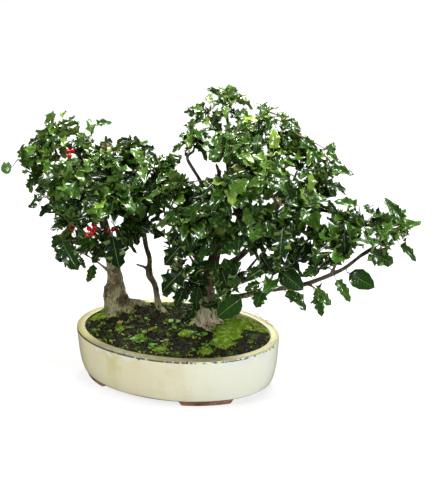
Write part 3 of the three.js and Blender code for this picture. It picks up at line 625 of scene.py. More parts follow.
@dataclass(frozen=True)
class Grained(Finish):
    """A small natural thing in two colours that noise mixes: crumbs, moss, straw, weeds, stalks."""

    name: str = "grained"
    first: Colour = srgb("#444444")
    second: Colour = srgb("#888888")
    scale: float = 200.0
    roughness: float = 0.8
    relief: float = 0.0005
    sheen: float = 0.5

    def paint(self, graph: Graph) -> dict[str, Feed]:
        """Builds the two colours."""
        grain = graph.noise(self.scale, 4)
        vary = graph.value("tone") * 0.3 + grain * 0.85
        return {
            "Base Color": graph.mix(vary.rise(0.36, 0.72), self.first, self.second),
            "Roughness": grain * 0.2 + (self.roughness - 0.1),
            "Normal": graph.bump(grain, 0.6, self.relief),
            "Specular IOR Level": self.sheen,
        }


@dataclass(frozen=True)
class Bark(Finish):
    """Grey-brown furrowed bark with lichen, moss near the soil, and darker wood higher up: the thin wood's
    own colour, plus painted shade that makes the right tree's long low branch nearly black.
    """

    name: str = "bark"
    pale: Colour = srgb("#9c9874")
    brown: Colour = srgb("#63583c")
    furrow: Colour = srgb("#241c12")
    # thin: darker wood higher up, both the thin wood's own colour and painted shade, as on the right tree's
    # long low branch
    thin: Colour = srgb("#332a1f")
    lichen: Colour = srgb("#b3b298")
    moss: Colour = srgb("#4a5a1c")
    bare: Colour = srgb("#8f8a6c")
    thin_and_shade_from: float = 0.17
    thin_and_shade_to: float = 0.26
    bare_to: float = 0.112

    def paint(self, graph: Graph) -> dict[str, Feed]:
        """Builds the bark."""
        place = graph.object_place()
        _, _, z = graph.axes(place)
        ridge = graph.noise(1, 5, graph.vector("MULTIPLY", place, (210, 210, 55)), 0.62)
        patch = graph.noise(48, 3)
        tint = graph.mix(patch.rise(0.34, 0.66), self.brown, self.pale)
        # Darker higher up: the thin wood's colour, with painted shade that blackens the long low branch
        tint = graph.mix(z.rise(self.thin_and_shade_from, self.thin_and_shade_to) * 0.85, tint, self.thin)
        tint = graph.mix(ridge.rise(0.5, 0.34), tint, self.furrow)
        tint = graph.mix(graph.noise(120, 2).rise(0.62, 0.7) * 0.6, tint, self.lichen)
        low = (z + (patch - 0.5) * 0.05).rise(self.bare_to, 0.084)
        tint = graph.mix(low * ridge.rise(0.38, 0.55) * 0.8, tint, self.bare)
        mossy = (z + (patch - 0.5) * 0.05).rise(0.108, 0.084) * graph.noise(150, 3).rise(0.42, 0.58)
        tint = graph.mix(mossy, tint, self.moss)
        return {
            "Base Color": tint,
            "Roughness": 0.95 - ridge * 0.25,
            "Normal": graph.bump(ridge + patch * 0.5, 0.9, 0.0035),
            "Specular IOR Level": 0.2,
        }


@dataclass(frozen=True)
class HollyLeaf(Finish):
    """Glossy holly leaf: pale midrib and side veins, a pale margin that is partly its own rim and partly a
    painted glint along it, and a paler, duller underside.

    The colour goes by the leaf's age, from yellow-green to bluish dark, and by its tone.
    """

    name: str = "holly_leaf"
    fresh: Colour = srgb("#98ad40")
    young: Colour = srgb("#4d7320")
    grown: Colour = srgb("#264c11")
    old: Colour = srgb("#061c0a")
    dead: Colour = srgb("#4b3a24")
    rib: Colour = srgb("#8fa540")
    # margin: the rim's own pale line, which also stands as a painted glint along the rim
    margin: Colour = srgb("#a6b250")
    under: Colour = srgb("#5f7a2c")

    def paint(self, graph: Graph) -> dict[str, Feed]:
        """Builds the leaf."""
        blade = graph.node("ShaderNodeAttribute", {"attribute_name": "blade"}, output="Vector")
        across, along, _ = graph.axes(blade)
        side = abs(across)
        mottle = graph.noise(150, 3)
        age = graph.value("age") + (graph.value("tone") - 0.5) * 0.3 + (mottle - 0.5) * 0.35
        stops = [(0.0, self.fresh), (0.24, self.young), (0.48, self.grown), (0.8, self.old), (0.9, self.old),
                 (0.98, self.dead)]
        tint = graph.node("ShaderNodeValToRGB", {"stops": stops}, {"Fac": age * 0.8}, "Color")
        vein = graph.math("SINE", (along - side * 0.16) * 62.0)
        vein = vein.rise(0.8, 1.0) * side.rise(0.95, 0.3)
        tint = graph.mix(vein * 0.04, tint, self.rib)
        tint = graph.mix(side.rise(0.045, 0.015) * 0.4, tint, self.rib)
        # Pale margin: partly the leaf's rim colour, partly a painted glint along it
        tint = graph.mix(side.rise(0.93, 0.99) * 0.35, tint, self.margin)
        below = graph.value("below")
        relief = vein * 0.3 + side.rise(0.12, 0.0) + mottle * 0.7
        return {
            "Base Color": graph.mix(below * 0.8, tint, self.under),
            "Roughness": 0.13 + mottle * 0.2 + below * 0.3,
            "Normal": graph.bump(1.0 - relief, 0.5, 0.0006),
            "Specular IOR Level": 0.5,
            "Coat Weight": 0.75,
            "Coat Roughness": 0.1,
        }


@dataclass(frozen=True)
class RipeBerry(Finish):
    """Shiny red berry, darker in patches, with a black tip."""

    name: str = "ripe_berry"
    red: Colour = srgb("#c4121b")
    deep: Colour = srgb("#7d0a10")
    tip: Colour = srgb("#1c0f0a")

    def paint(self, graph: Graph) -> dict[str, Feed]:
        """Builds the berry."""
        tint = graph.mix(graph.noise(230, 2).rise(0.4, 0.7), self.red, self.deep)
        tip = graph.value("tip")
        return {
            "Base Color": graph.mix(tip.rise(0.4, 0.8), tint, self.tip),
            "Roughness": tip * 0.5 + 0.14,
            "Normal": graph.bump(graph.noise(500, 2), 0.15, 0.0003),
            "Coat Weight": 0.5,
        }


@dataclass(frozen=True)
class WhiteFloor(Finish):
    """White floor that stays white to its far end, and glows less where the lamps light it."""

    name: str = "white_floor"
    lit: Colour = (0.78, 0.78, 0.78, 1)
    far: Colour = (1, 1, 1, 1)
    near_radius: float = 0.2
    far_radius: float = 0.75

    def paint(self, graph: Graph) -> dict[str, Feed]:
        """Builds the floor."""
        away = graph.vector("DISTANCE", graph.object_place(), pot_middle(), "Value")
        glow = away.rise(self.near_radius, self.far_radius)
        return {
            "Emission Color": graph.mix(glow, self.lit, self.far),
            "Base Color": (0.2, 0.2, 0.2, 1),
            "Roughness": 0.9,
            "Specular IOR Level": 0.1,
            "Emission Strength": 1.0,
        }


GLAZE = IvoryGlaze()
CLAY = FiredClay()
SOIL = MossySoil()
LEAF = HollyLeaf()
BERRY = RipeBerry()
LEFT_BARK = Bark("left_bark")
MIDDLE_BARK = Bark("middle_bark", bare=srgb("#b8ab8c"), thin_and_shade_from=0.12, thin_and_shade_to=0.2, bare_to=0.135)
RIGHT_BARK = Bark("right_bark", pale=srgb("#a9a58a"), brown=srgb("#6a5b48"), bare=srgb("#d3c5a6"),
                  thin_and_shade_from=0.15, thin_and_shade_to=0.21, bare_to=0.145)
TWIG = Grained("green_twig", srgb("#4d6327"), srgb("#6b5a36"), 120, 0.55)
STALK = Grained("berry_stalk", srgb("#6d7a35"), srgb("#7a5a34"), 300, 0.5)
CRUMB = Grained("soil_crumb", srgb("#100e08"), srgb("#373118"), 260, 0.95, sheen=0.15)
GRIT = Grained("pale_grit", srgb("#8b7f63"), srgb("#cfc6ac"), 300, 0.85)
# Moss tufts: both colours brightened past the moss's own green, as painted light and highlights on the moss
MOSS_WITH_PAINTED_LIGHT = Grained("moss", srgb("#7aa01c"), srgb("#f2fc90"), 150, 0.9, sheen=0.3)
STRAW = Grained("dry_straw", srgb("#8a7a50"), srgb("#cfc498"), 160, 0.7)
DEAD_LEAF = Grained("dead_leaf", srgb("#4c3c22"), srgb("#97814f"), 140, 0.8, sheen=0.2)
WEED = Grained("weed_leaf", srgb("#2d5c10"), srgb("#6a9c2c"), 130, 0.55, sheen=0.3)
SCREEN_PLASTIC = Grained("screen_plastic", srgb("#1d1f22"), srgb("#2e3034"), 300, 0.6)


# Pieces and meshes


def placed(name: str, data: bpy.types.ID) -> Piece:
    """Adds an object to the scene."""
    made = bpy.data.objects.new(name, data)
    bpy.context.scene.collection.objects.link(made)
    return made


def finished(piece: Piece, slot: Slot, *nodes: str) -> Piece:
    """Lets a piece ride with the part and hides the solids that it stands for.

    Args:
        piece: The piece.
        slot: Its material slot; not used.
        nodes: The solids' nodes, if it stands for any.

    Returns:
        The piece.
    """
    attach(piece, "root")
    if nodes:
        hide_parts(*nodes)
    LOG.info("%s: %d faces", piece.name, len(piece.data.polygons))
    return piece


def settled(source: Piece) -> Piece:
    """Makes a plain mesh piece of what an object's modifiers give, and removes the object."""
    graph = bpy.context.evaluated_depsgraph_get()
    mesh = bpy.data.meshes.new_from_object(
        source.evaluated_get(graph), preserve_all_data_layers=True, depsgraph=graph)
    name = source.name
    bpy.data.objects.remove(source)
    return placed(name, mesh)


class Line:
    """A curve with a point and a direction at each share of the way along."""

    def point(self, share: float) -> Vector:
        """Gives the point at a share of the way along."""
        raise NotImplementedError

    def tangent(self, share: float) -> Vector:
        """Gives the direction at a share of the way along."""
        low, high = max(share - 1e-4, 0.0), min(share + 1e-4, 1.0)
        return (self.point(high) - self.point(low)).normalized()


class Path(Line):
    """A smooth curve through points, which may carry a radius each."""

    def __init__(self, rows: Iterable[Sequence[float]]) -> None:
        """Keeps the points, and a radius for each that has one."""
        rows = [tuple(row) for row in rows]
        self.knots = [Vector(row[:3]) for row in rows]
        self.radii = [row[3] if len(row) > 3 else 0.0 for row in rows]

    def point(self, share: float) -> Vector:
        """Gives the point at a share of the way along."""
        last = len(self.knots) - 1
        place = min(max(share, 0.0), 1.0) * last
        i = min(int(place), last - 1)
        u = place - i
        b, c = self.knots[i], self.knots[i + 1]
        a = self.knots[i - 1] if i > 0 else 2 * b - c
        d = self.knots[i + 2] if i + 2 <= last else 2 * c - b
        leave, arrive = (c - a) / 2, (d - b) / 2
        return (b * (2 * u ** 3 - 3 * u ** 2 + 1) + leave * (u ** 3 - 2 * u ** 2 + u)
                + c * (3 * u ** 2 - 2 * u ** 3) + arrive * (u ** 3 - u ** 2))

    def radius(self, share: float) -> float:
        """Gives the radius at a share of the way along."""
        place = min(max(share, 0.0), 1.0) * (len(self.radii) - 1)
        i = min(int(place), len(self.radii) - 2)
        return self.radii[i] + (self.radii[i + 1] - self.radii[i]) * (place - i)


@dataclass
class Bough(Line):
    """A short bowed branch from a limb to the middle of a spray."""

    limb: Path
    share: float
    end: Vector
    index: int
    root_radius: float = 2.8
    tip_radius: float = 1.5
    woody: float = 0.68
    lift: float = 0.12

    def __post_init__(self) -> None:
        """Finds where the bough starts and how it bends."""
        self.start = self.limb.point(self.share)
        reach = (self.end - self.start).length
        aside = (self.end - self.start).cross(UP).normalized()
        self.bend = ((self.start + self.end) / 2 + UP * self.lift * reach
                     + aside * (draw(self.index, 1, 0) - 0.5) * 0.3 * reach)

    def point(self, share: float) -> Vector:
        """Gives the point at a share of the way along."""
        rest = 1 - share
        return self.start * rest ** 2 + self.bend * 2 * share * rest + self.end * share ** 2

    def radius(self, share: float) -> float:
        """Gives the radius at a share of the way along."""
        root = min(self.root_radius, self.limb.radius(self.share) * 0.9)
        return root + (self.tip_radius - root) * min(share / self.woody, 1)

    def shoot(self, reach: float) -> Path:
        """Gives the green shoot that goes on from the bough's wood."""
        points = [self.point(t) for t in (self.woody, (1 + self.woody) / 2, 1)]
        onward = (self.tangent(1) + UP * 0.25).normalized()
        return Path([*points, points[2] + onward * reach * 0.8])


def leaning(along: Vector, angle: float, roll: float) -> Vector:
    """Gives a direction at an angle from another.

    Args:
        along: The other direction.
        angle: The angle between them in radians.
        roll: How far round the other it lies.

    Returns:
        The direction, of length 1.
    """
    flat = Vector((1, 0, 0)) if abs(along.z) > 0.95 else UP
    side = along.cross(flat).normalized()
    over = side.cross(along)
    out = side * math.cos(roll) + over * math.sin(roll)
    return (along * math.cos(angle) + out * math.sin(angle)).normalized()


class Sketch:
    """A mesh being drawn, with numbers kept on its points and faces."""

    def __init__(self) -> None:
        """Starts with nothing."""
        self.points: list[Vector] = []
        self.faces: list[tuple[int, ...]] = []
        self.values: dict[str, list[float]] = {}

    def add(self, point: Sequence[float], **values: float) -> int:
        """Adds a point with its numbers, and gives its index."""
        self.points.append(Vector(point))
        for name, value in values.items():
            self.values.setdefault(name, []).append(value)
        return len(self.points) - 1

    def face(self, *corners: int) -> None:
        """Adds a face, leaving out corners that come twice."""
        kept = tuple(dict.fromkeys(corners))
        if len(kept) > 2:
            self.faces.append(kept)

    def skin(self, rows: Sequence[Sequence[int]], looped: bool = True, capped: bool = True) -> None:
        """Joins rows of point indices into a surface.

        Args:
            rows: Rows of one length.
            looped: Whether each row closes on itself.
            capped: Whether the first and last rows are filled.
        """
        width = len(rows[0])
        for low, high in zip(rows, rows[1:]):
            for j in range(width if looped else width - 1):
                k = (j + 1) % width
                self.face(low[j], low[k], high[k], high[j])
        if capped:
            self.face(*reversed(rows[0]))
            self.face(*rows[-1])

    def tube(self, line: Line, radius: Callable[[float], float], sides: int, steps: int,
             ridge: Callable[[float, float], float] = lambda z, angle: 1.0, end: float = 1.0) -> None:
        """Adds a closed tapered tube along a line.

        Args:
            line: The tube's middle line.
            radius: Radius at a share of the way along.
            sides: Points round the tube.
            steps: Rings less one.
            ridge: Factor on the radius at a height and an angle.
            end: Share of the line at which the tube ends.
        """
        across = None
        rows = []
        for i in range(steps + 1):
            share = end * i / steps
            middle, along = line.point(share), line.tangent(share)
            if across is None:
                across = Vector((1, 0, 0)) - along * along.x
            across = (across - along * across.dot(along)).normalized()
            over = along.cross(across)
            row = []
            for j in range(sides):
                angle = j / sides * 2 * math.pi
                r = radius(share) * ridge(middle.z, angle)
                row.append(self.add(middle + across * r * math.cos(angle) + over * r * math.sin(angle)))
            rows.append(row)
        self.skin(rows)

    def ball(self, middle: Vector, axis: Vector, radius: float, sides: int = 14, rings: int = 9) -> None:
        """Adds a berry with a small dimple at its tip, which the value tip marks.

        Args:
            middle: Its middle.
            axis: Direction of its tip.
            radius: Its radius across the axis.
            sides: Points round it.
            rings: Rows of faces from tip to tail.
        """
        turn = axis.to_track_quat("Z", "Y")
        rows = []
        for i in range(1, rings):
            angle = math.pi * i / rings
            row = []
            for j in range(sides):
                round_at = 2 * math.pi * j / sides
                place = Vector((math.sin(angle) * math.cos(round_at), math.sin(angle) * math.sin(round_at),
                                math.cos(angle) * 1.06))
                row.append(self.add(middle + turn @ place * radius, tip=1.0 if i == 1 else 0.0))
            rows.append(row)
        self.skin(rows, capped=False)
        tip = self.add(middle + axis * radius * 0.86, tip=1.0)
        tail = self.add(middle - axis * radius * 1.06, tip=0.0)
        for j in range(sides):
            k = (j + 1) % sides
            self.face(rows[0][k], rows[0][j], tip)
            self.face(rows[-1][j], rows[-1][k], tail)

    def piece(self, name: str, finish: Optional[Finish], in_pot: bool = True, smooth: bool = True,
              outward: bool = True) -> Piece:
        """Makes the sketch an object.

        Args:
            name: The object's name.
            finish: Its finish, if it has one yet.
            in_pot: Whether the points are millimetres round the pot, and not the object's own units.
            smooth: Whether faces are shaded smooth.
            outward: Whether faces are turned outwards, which a closed mesh needs once.

        Returns:
            The object, at the origin.
        """
        mesh = bpy.data.meshes.new(name)
        points = [in_row(p) for p in self.points] if in_pot else self.points
        mesh.from_pydata(points, [], self.faces)
        if outward:
            work = bmesh.new()
            work.from_mesh(mesh)
            bmesh.ops.recalc_face_normals(work, faces=work.faces)
            work.to_mesh(mesh)
            work.free()
        for key, values in self.values.items():
            if len(values) == len(self.points):
                kind = "FLOAT_VECTOR" if isinstance(values[0], tuple) else "FLOAT"
                attribute = mesh.attributes.new(key, kind, "POINT")
                flat = np.array(values, np.float32).ravel()
                attribute.data.foreach_set("vector" if kind == "FLOAT_VECTOR" else "value", flat)
        mesh.polygons.foreach_set("use_smooth", [smooth] * len(mesh.polygons))
        if finish:
            mesh.materials.append(finish.material())
        return placed(name, mesh)


# Shapes that are planted many times


@dataclass(frozen=True)
class LeafShape:
    """A leaf of length 1 along +Y, facing +Z: a thin closed lens with an outline of spines.

    Each station is a share of the length, a share of the half width, and a wave up or down of the margin.
    """

    name: str
    half_width: float = 0.31
    fold: float = 0.3
    droop: float = 0.3
    wave: float = 0.13
    twist: float = 0.0
    thick: float = 0.013
    bulge: float = 0.06
    stations: tuple[Row, ...] = (
        (0.0, 0.05, 0.0), (0.11, 0.06, 0.0), (0.25, 0.84, 1.0), (0.33, 0.66, -0.4), (0.46, 1.0, -0.9),
        (0.54, 0.72, 0.3), (0.67, 0.92, 1.0), (0.75, 0.55, -0.3), (0.86, 0.56, -0.8), (1.0, 0.0, -0.5),
    )

    def _at(self, across: float, station: Row, lift: float) -> Vector:
        """Gives a point of the blade.

        Args:
            across: Place across it, from -1 at one margin to 1 at the other.
            station: Row of the outline.
            lift: Height over the blade's middle sheet.

        Returns:
            The point, for a leaf of length 1.
        """
        share, width, wave = station
        if abs(across) < 1:
            width = min(width, 0.04) if share <= 0.11 else 0.88 * math.sin(math.pi * share) ** 0.6
        x = across * width * self.half_width
        side = abs(across)
        z = (abs(x) * self.fold + self.bulge * 4 * side * (1 - side) * min(width, 1) - self.droop * share ** 2
             + (wave * self.wave if side == 1 else 0.0) + lift)
        turn = self.twist * (share - 0.1)
        cos, sin = math.cos(turn), math.sin(turn)
        return Vector((x * cos - z * sin, share, x * sin + z * cos))

    def piece(self) -> Piece:
        """Makes the leaf."""
        sketch = Sketch()
        tops, bottoms = [], []
        tip = None
        for station in self.stations:
            if station[1] == 0:
                tip = sketch.add(self._at(0, station, 0), blade=(0.0, station[0], 0.0))
                tops.append([tip] * 5)
                bottoms.append([tip] * 3)
                continue
            row = [sketch.add(self._at(a, station, self.thick * (1 - abs(a))), blade=(a, station[0], 0.0))
                   for a in (-1, -0.5, 0, 0.5, 1)]
            under = sketch.add(self._at(0, station, -self.thick), blade=(0.0, station[0], 0.0))
            tops.append(row)
            bottoms.append([row[0], under, row[4]])
        for low, high in zip(tops, tops[1:]):
            for j in range(4):
                sketch.face(low[j], low[j + 1], high[j + 1], high[j])
        top_faces = len(sketch.faces)
        for low, high in zip(bottoms, bottoms[1:]):
            for j in range(2):
                sketch.face(low[j + 1], low[j], high[j], high[j + 1])
        sketch.face(*tops[0][::-1], bottoms[0][1])
        made = sketch.piece(self.name, None, in_pot=False, outward=False)
        below = made.data.attributes.new("below", "FLOAT", "FACE")
        below.data.foreach_set("value", [float(i >= top_faces) for i in range(len(sketch.faces))])
        rim = {frozenset((low[j], high[j])) for low, high in zip(tops, tops[1:]) for j in (0, 4)}
        sharp = made.data.attributes.new("sharp_edge", "BOOLEAN", "EDGE")
        sharp.data.foreach_set("value", [frozenset(edge.vertices) in rim for edge in made.data.edges])
        return made


OVAL_STATIONS = (
    (0.0, 0.05, 0.0), (0.1, 0.06, 0.0), (0.2, 0.62, 0.5), (0.3, 0.82, -0.5), (0.42, 1.0, 0.6),
    (0.54, 0.93, -0.4), (0.66, 0.92, 0.8), (0.78, 0.66, -0.4), (0.88, 0.52, 0.6), (1.0, 0.0, 0.0),
)
ROUND_STATIONS = (
    (0.0, 0.08, 0.0), (0.08, 0.1, 0.0), (0.2, 0.62, 0.0), (0.45, 1.0, 0.2), (0.72, 0.94, 0.0),
    (0.92, 0.5, -0.2), (1.0, 0.0, 0.0),
)


def crumb_shape(name: str, sides: int = 5) -> Piece:
    """Makes a rough pebble of size 1."""
    sketch = Sketch()
    rows = []
    for z, wide in ((-0.35, 0.3), (0.05, 0.52), (0.35, 0.26)):
        rows.append([sketch.add((wide * (0.8 + 0.4 * draw(j, z, 1)) * math.cos(2 * math.pi * j / sides),
                                 wide * (0.8 + 0.4 * draw(j, z, 2)) * math.sin(2 * math.pi * j / sides), z))
                     for j in range(sides)])
    sketch.skin(rows)
    return sketch.piece(name, None, in_pot=False, smooth=False)


def tuft_shape(name: str, blades: int = 5) -> Piece:
    """Makes a tuft of moss of height 1: short leaning spikes from one point."""
    sketch = Sketch()
    for i in range(blades):
        turn = GOLDEN_ANGLE * i
        lean = 0.25 + 0.5 * draw(i, 3, 1)
        out = Vector((math.cos(turn), math.sin(turn), 0))
        side = out.cross(UP)
        foot = out * 0.08
        corners = [foot + side * 0.16, foot - side * 0.16 + out * 0.1, foot - out * 0.16]
        ids = [sketch.add(c) for c in corners]
        top = sketch.add(out * lean + UP * (0.7 + 0.3 * draw(i, 4, 1)))
        sketch.face(*ids)
        for j in range(3):
            sketch.face(ids[j], ids[(j + 1) % 3], top)
    return sketch.piece(name, None, in_pot=False, smooth=False)


# Geometry Nodes


class NodeGrowth:
    """A Geometry Nodes tree with named inputs, which is run on an object to make a piece."""

    def __init__(self, name: str, inputs: dict[str, str]) -> None:
        """Makes the tree with a geometry input and output and further inputs.

        Args:
            name: The tree's name.
            inputs: Kind of socket for each further input.
        """
        tree = bpy.data.node_groups.new(name, "GeometryNodeTree")
        tree.interface.new_socket("Geometry", in_out="OUTPUT", socket_type="NodeSocketGeometry")
        tree.interface.new_socket("Geometry", in_out="INPUT", socket_type="NodeSocketGeometry")
        for label, kind in inputs.items():
            tree.interface.new_socket(label, in_out="INPUT", socket_type=f"NodeSocket{kind}")
        self.graph = Graph(tree)
        self.entry = tree.nodes.new("NodeGroupInput")

    def given(self, label: str) -> Wire:
        """Gives the tree's own input of that name."""
        return Wire(self.graph, self.graph.plug(self.entry.outputs, label))

    def named(self, name: str, kind: str) -> Wire:
        """Reads a named attribute of the geometry."""
        return self.graph.node("GeometryNodeInputNamedAttribute", {"data_type": kind}, {"Name": name})

    def coated(self, shape: Wire, label: str) -> Wire:
        """Gives a geometry the material that the tree's own input of that name holds."""
        feeds = {"Geometry": shape, "Material": self.given(label)}
        return self.graph.node("GeometryNodeSetMaterial", None, feeds)

    def close(self, result: Wire) -> None:
        """Links the tree's result."""
        self.graph.feed(self.graph.tree.nodes.new("NodeGroupOutput"), 0, result)

    def run(self, source: Piece, values: dict[str, Feed]) -> Piece:
        """Runs the tree on an object.

        Args:
            source: The object, which is used up.
            values: A value for each named input.

        Returns:
            A plain mesh piece of the same name.
        """
        modifier = source.modifiers.new("growth", "NODES")
        modifier.node_group = self.graph.tree
        for item in self.graph.tree.interface.items_tree:
            if item.in_out == "INPUT" and item.name in values:
                modifier[item.identifier] = values[item.name]
        return settled(source)


class Planting(NodeGrowth):
    """Sets leaf shapes on loose points and thickens the edges between the others into twigs."""

    SHAPES = 5

    def __init__(self) -> None:
        """Builds the tree."""
        shapes = [f"Shape {k + 1}" for k in range(self.SHAPES)]
        super().__init__("planting", {
            "Leaf scale": "Float", "Twig sides": "Int", "Leaf finish": "Material", "Twig finish": "Material",
            **{shape: "Object" for shape in shapes},
        })
        g = self.graph
        parts = g.node("GeometryNodeSeparateGeometry", {"domain": "POINT"},
                       {"Geometry": self.given("Geometry"), "Selection": self.named("is_leaf", "BOOLEAN")})
        others = Wire(g, parts.plug.node.outputs[1])
        # The last link to a Join Geometry comes first in its result
        kinds = [g.node("GeometryNodeObjectInfo", None, {"Object": self.given(shape), "As Instance": True},
                        "Geometry") for shape in reversed(shapes)]
        turn = g.node("FunctionNodeEulerToRotation", None, {0: self.named("turn", "FLOAT_VECTOR")})
        size = g.node("ShaderNodeVectorMath", {"operation": "SCALE"},
                      {0: self.named("size", "FLOAT_VECTOR"), "Scale": self.given("Leaf scale")})
        leaves = g.node("GeometryNodeInstanceOnPoints", None, {
            "Points": parts, "Instance": g.node("GeometryNodeJoinGeometry", None, {0: kinds}),
            "Pick Instance": True, "Instance Index": self.named("kind", "INT"), "Rotation": turn,
            "Scale": size})
        leaves = self.coated(g.node("GeometryNodeRealizeInstances", None, {0: leaves}), "Leaf finish")
        profile = g.node("GeometryNodeCurvePrimitiveCircle", {"mode": "RADIUS"},
                         {"Resolution": self.given("Twig sides"), "Radius": 1.0})
        lines = g.node("GeometryNodeMeshToCurve", None, {"Mesh": others})
        twigs = g.node("GeometryNodeCurveToMesh", None, {
            "Curve": lines, "Profile Curve": profile, "Scale": self.named("thickness", "FLOAT"),
            "Fill Caps": True})
        twigs = self.coated(twigs, "Twig finish")
        self.close(g.node("GeometryNodeJoinGeometry", None, {0: [leaves, twigs]}))


class Scattering(NodeGrowth):
    """Scatters a small shape over a surface, more where the surface's amount value is high."""

    def __init__(self) -> None:
        """Builds the tree."""
        super().__init__("scattering", {
            "Shape": "Object", "Per square metre": "Float", "Smallest": "Float", "Largest": "Float",
            "Seed": "Int", "Finish": "Material",
        })
        g = self.graph
        density = g.math("MULTIPLY", self.given("Per square metre"), self.named("amount", "FLOAT"))
        spots = g.node("GeometryNodeDistributePointsOnFaces", {"distribute_method": "RANDOM"}, {
            "Mesh": self.given("Geometry"), "Density": density, "Seed": self.given("Seed")})
        upright = Wire(g, g.plug(spots.plug.node.outputs, "Rotation"))
        spin = g.node("FunctionNodeRandomValue", {"data_type": "FLOAT_VECTOR"}, {
            "Min": (-0.35, -0.35, 0.0), "Max": (0.35, 0.35, 6.283), "Seed": self.given("Seed")})
        turn = g.node("FunctionNodeRotateRotation", {"rotation_space": "LOCAL"}, {
            "Rotation": upright, "Rotate By": g.node("FunctionNodeEulerToRotation", None, {0: spin})})
        size = g.node("FunctionNodeRandomValue", {"data_type": "FLOAT"}, {
            "Min": self.given("Smallest"), "Max": self.given("Largest"), "Seed": self.given("Seed")}, "Value")
        shape = g.node("GeometryNodeObjectInfo", None, {"Object": self.given("Shape")}, "Geometry")
        planted = g.node("GeometryNodeInstanceOnPoints", None, {
            "Points": spots, "Instance": shape, "Rotation": turn, "Scale": size})
        self.close(self.coated(g.node("GeometryNodeRealizeInstances", None, {0: planted}), "Finish"))


@dataclass
class Leaf:
    """One leaf to be planted: where its stalk starts, where it points and faces, its length and looks."""

    base: Vector
    along: Vector
    face: Vector
    length: float
    kind: int = 0
    age: float = 0.5
    tone: float = 0.5
    wide: float = 1.0

    def middle(self) -> Vector:
        """Gives the middle of the blade."""
        return self.base + self.along * self.length * 0.55

    def tip(self) -> Vector:
        """Gives the tip of the blade."""
        return self.base + self.along * self.length

    def turn(self) -> tuple[float, float, float]:
        """Gives the leaf's rotation as Euler angles."""
        side = self.along.cross(self.face).normalized()
        normal = side.cross(self.along).normalized()
        return tuple(Matrix((side, self.along, normal)).transposed().to_euler())


class Plan:
    """Leaves and twigs of one piece, in millimetres round the pot."""

    def __init__(self) -> None:
        """Starts with nothing."""
        self.leaves: list[Leaf] = []
        self.twigs: list[list[tuple[Vector, float]]] = []

    def twig(self, line: Line, thick: float, thin: float, steps: int = 6, start: float = 0.0) -> None:
        """Adds a twig along a line, which gets thinner from thick to thin."""
        shares = [start + (1 - start) * i / steps for i in range(steps + 1)]
        self.twigs.append([(line.point(t), thick + (thin - thick) * t) for t in shares])

    def piece(self, name: str, planting: Planting, shapes: Sequence[Piece], leaf: Finish,
              twig: Finish, sides: int = 5) -> Piece:
        """Grows the piece.

        Args:
            name: The piece's name.
            planting: The node tree.
            shapes: The leaf shapes that the leaves' kinds count through.
            leaf: Finish of the leaves.
            twig: Finish of the twigs.
            sides: Sides of a twig.

        Returns:
            The piece.
        """
        points = [in_row(one.base) for one in self.leaves]
        size = [(one.length * one.wide * MM, one.length * MM, one.length * MM) for one in self.leaves]
        turn = [one.turn() for one in self.leaves]
        count = len(points)
        edges, thickness = [], [0.0] * count
        for twig_points in self.twigs:
            first = len(points)
            for point, radius in twig_points:
                points.append(in_row(point))
                thickness.append(radius * MM)
            edges += [(k, k + 1) for k in range(first, len(points) - 1)]
        rest = len(points) - count
        mesh = bpy.data.meshes.new(name)
        mesh.from_pydata(points, edges, [])
        rows = {
            "turn": ("FLOAT_VECTOR", "vector", turn + [(0, 0, 0)] * rest),
            "size": ("FLOAT_VECTOR", "vector", size + [(1, 1, 1)] * rest),
            "thickness": ("FLOAT", "value", thickness),
            "tone": ("FLOAT", "value", [one.tone for one in self.leaves] + [0.5] * rest),
            "age": ("FLOAT", "value", [one.age for one in self.leaves] + [0.5] * rest),
            "kind": ("INT", "value", [one.kind for one in self.leaves] + [0] * rest),
            "is_leaf": ("BOOLEAN", "value", [True] * count + [False] * rest),
        }
        for key, (kind, label, values) in rows.items():
            attribute = mesh.attributes.new(key, kind, "POINT")
            attribute.data.foreach_set(label, np.array(values).ravel())
        values = {"Leaf scale": 1.0, "Twig sides": sides, "Leaf finish": leaf.material(),
                  "Twig finish": twig.material()}
        for k in range(Planting.SHAPES):
            values[f"Shape {k + 1}"] = shapes[k % len(shapes)]
        return planting.run(placed(name, mesh), values)


# The camera


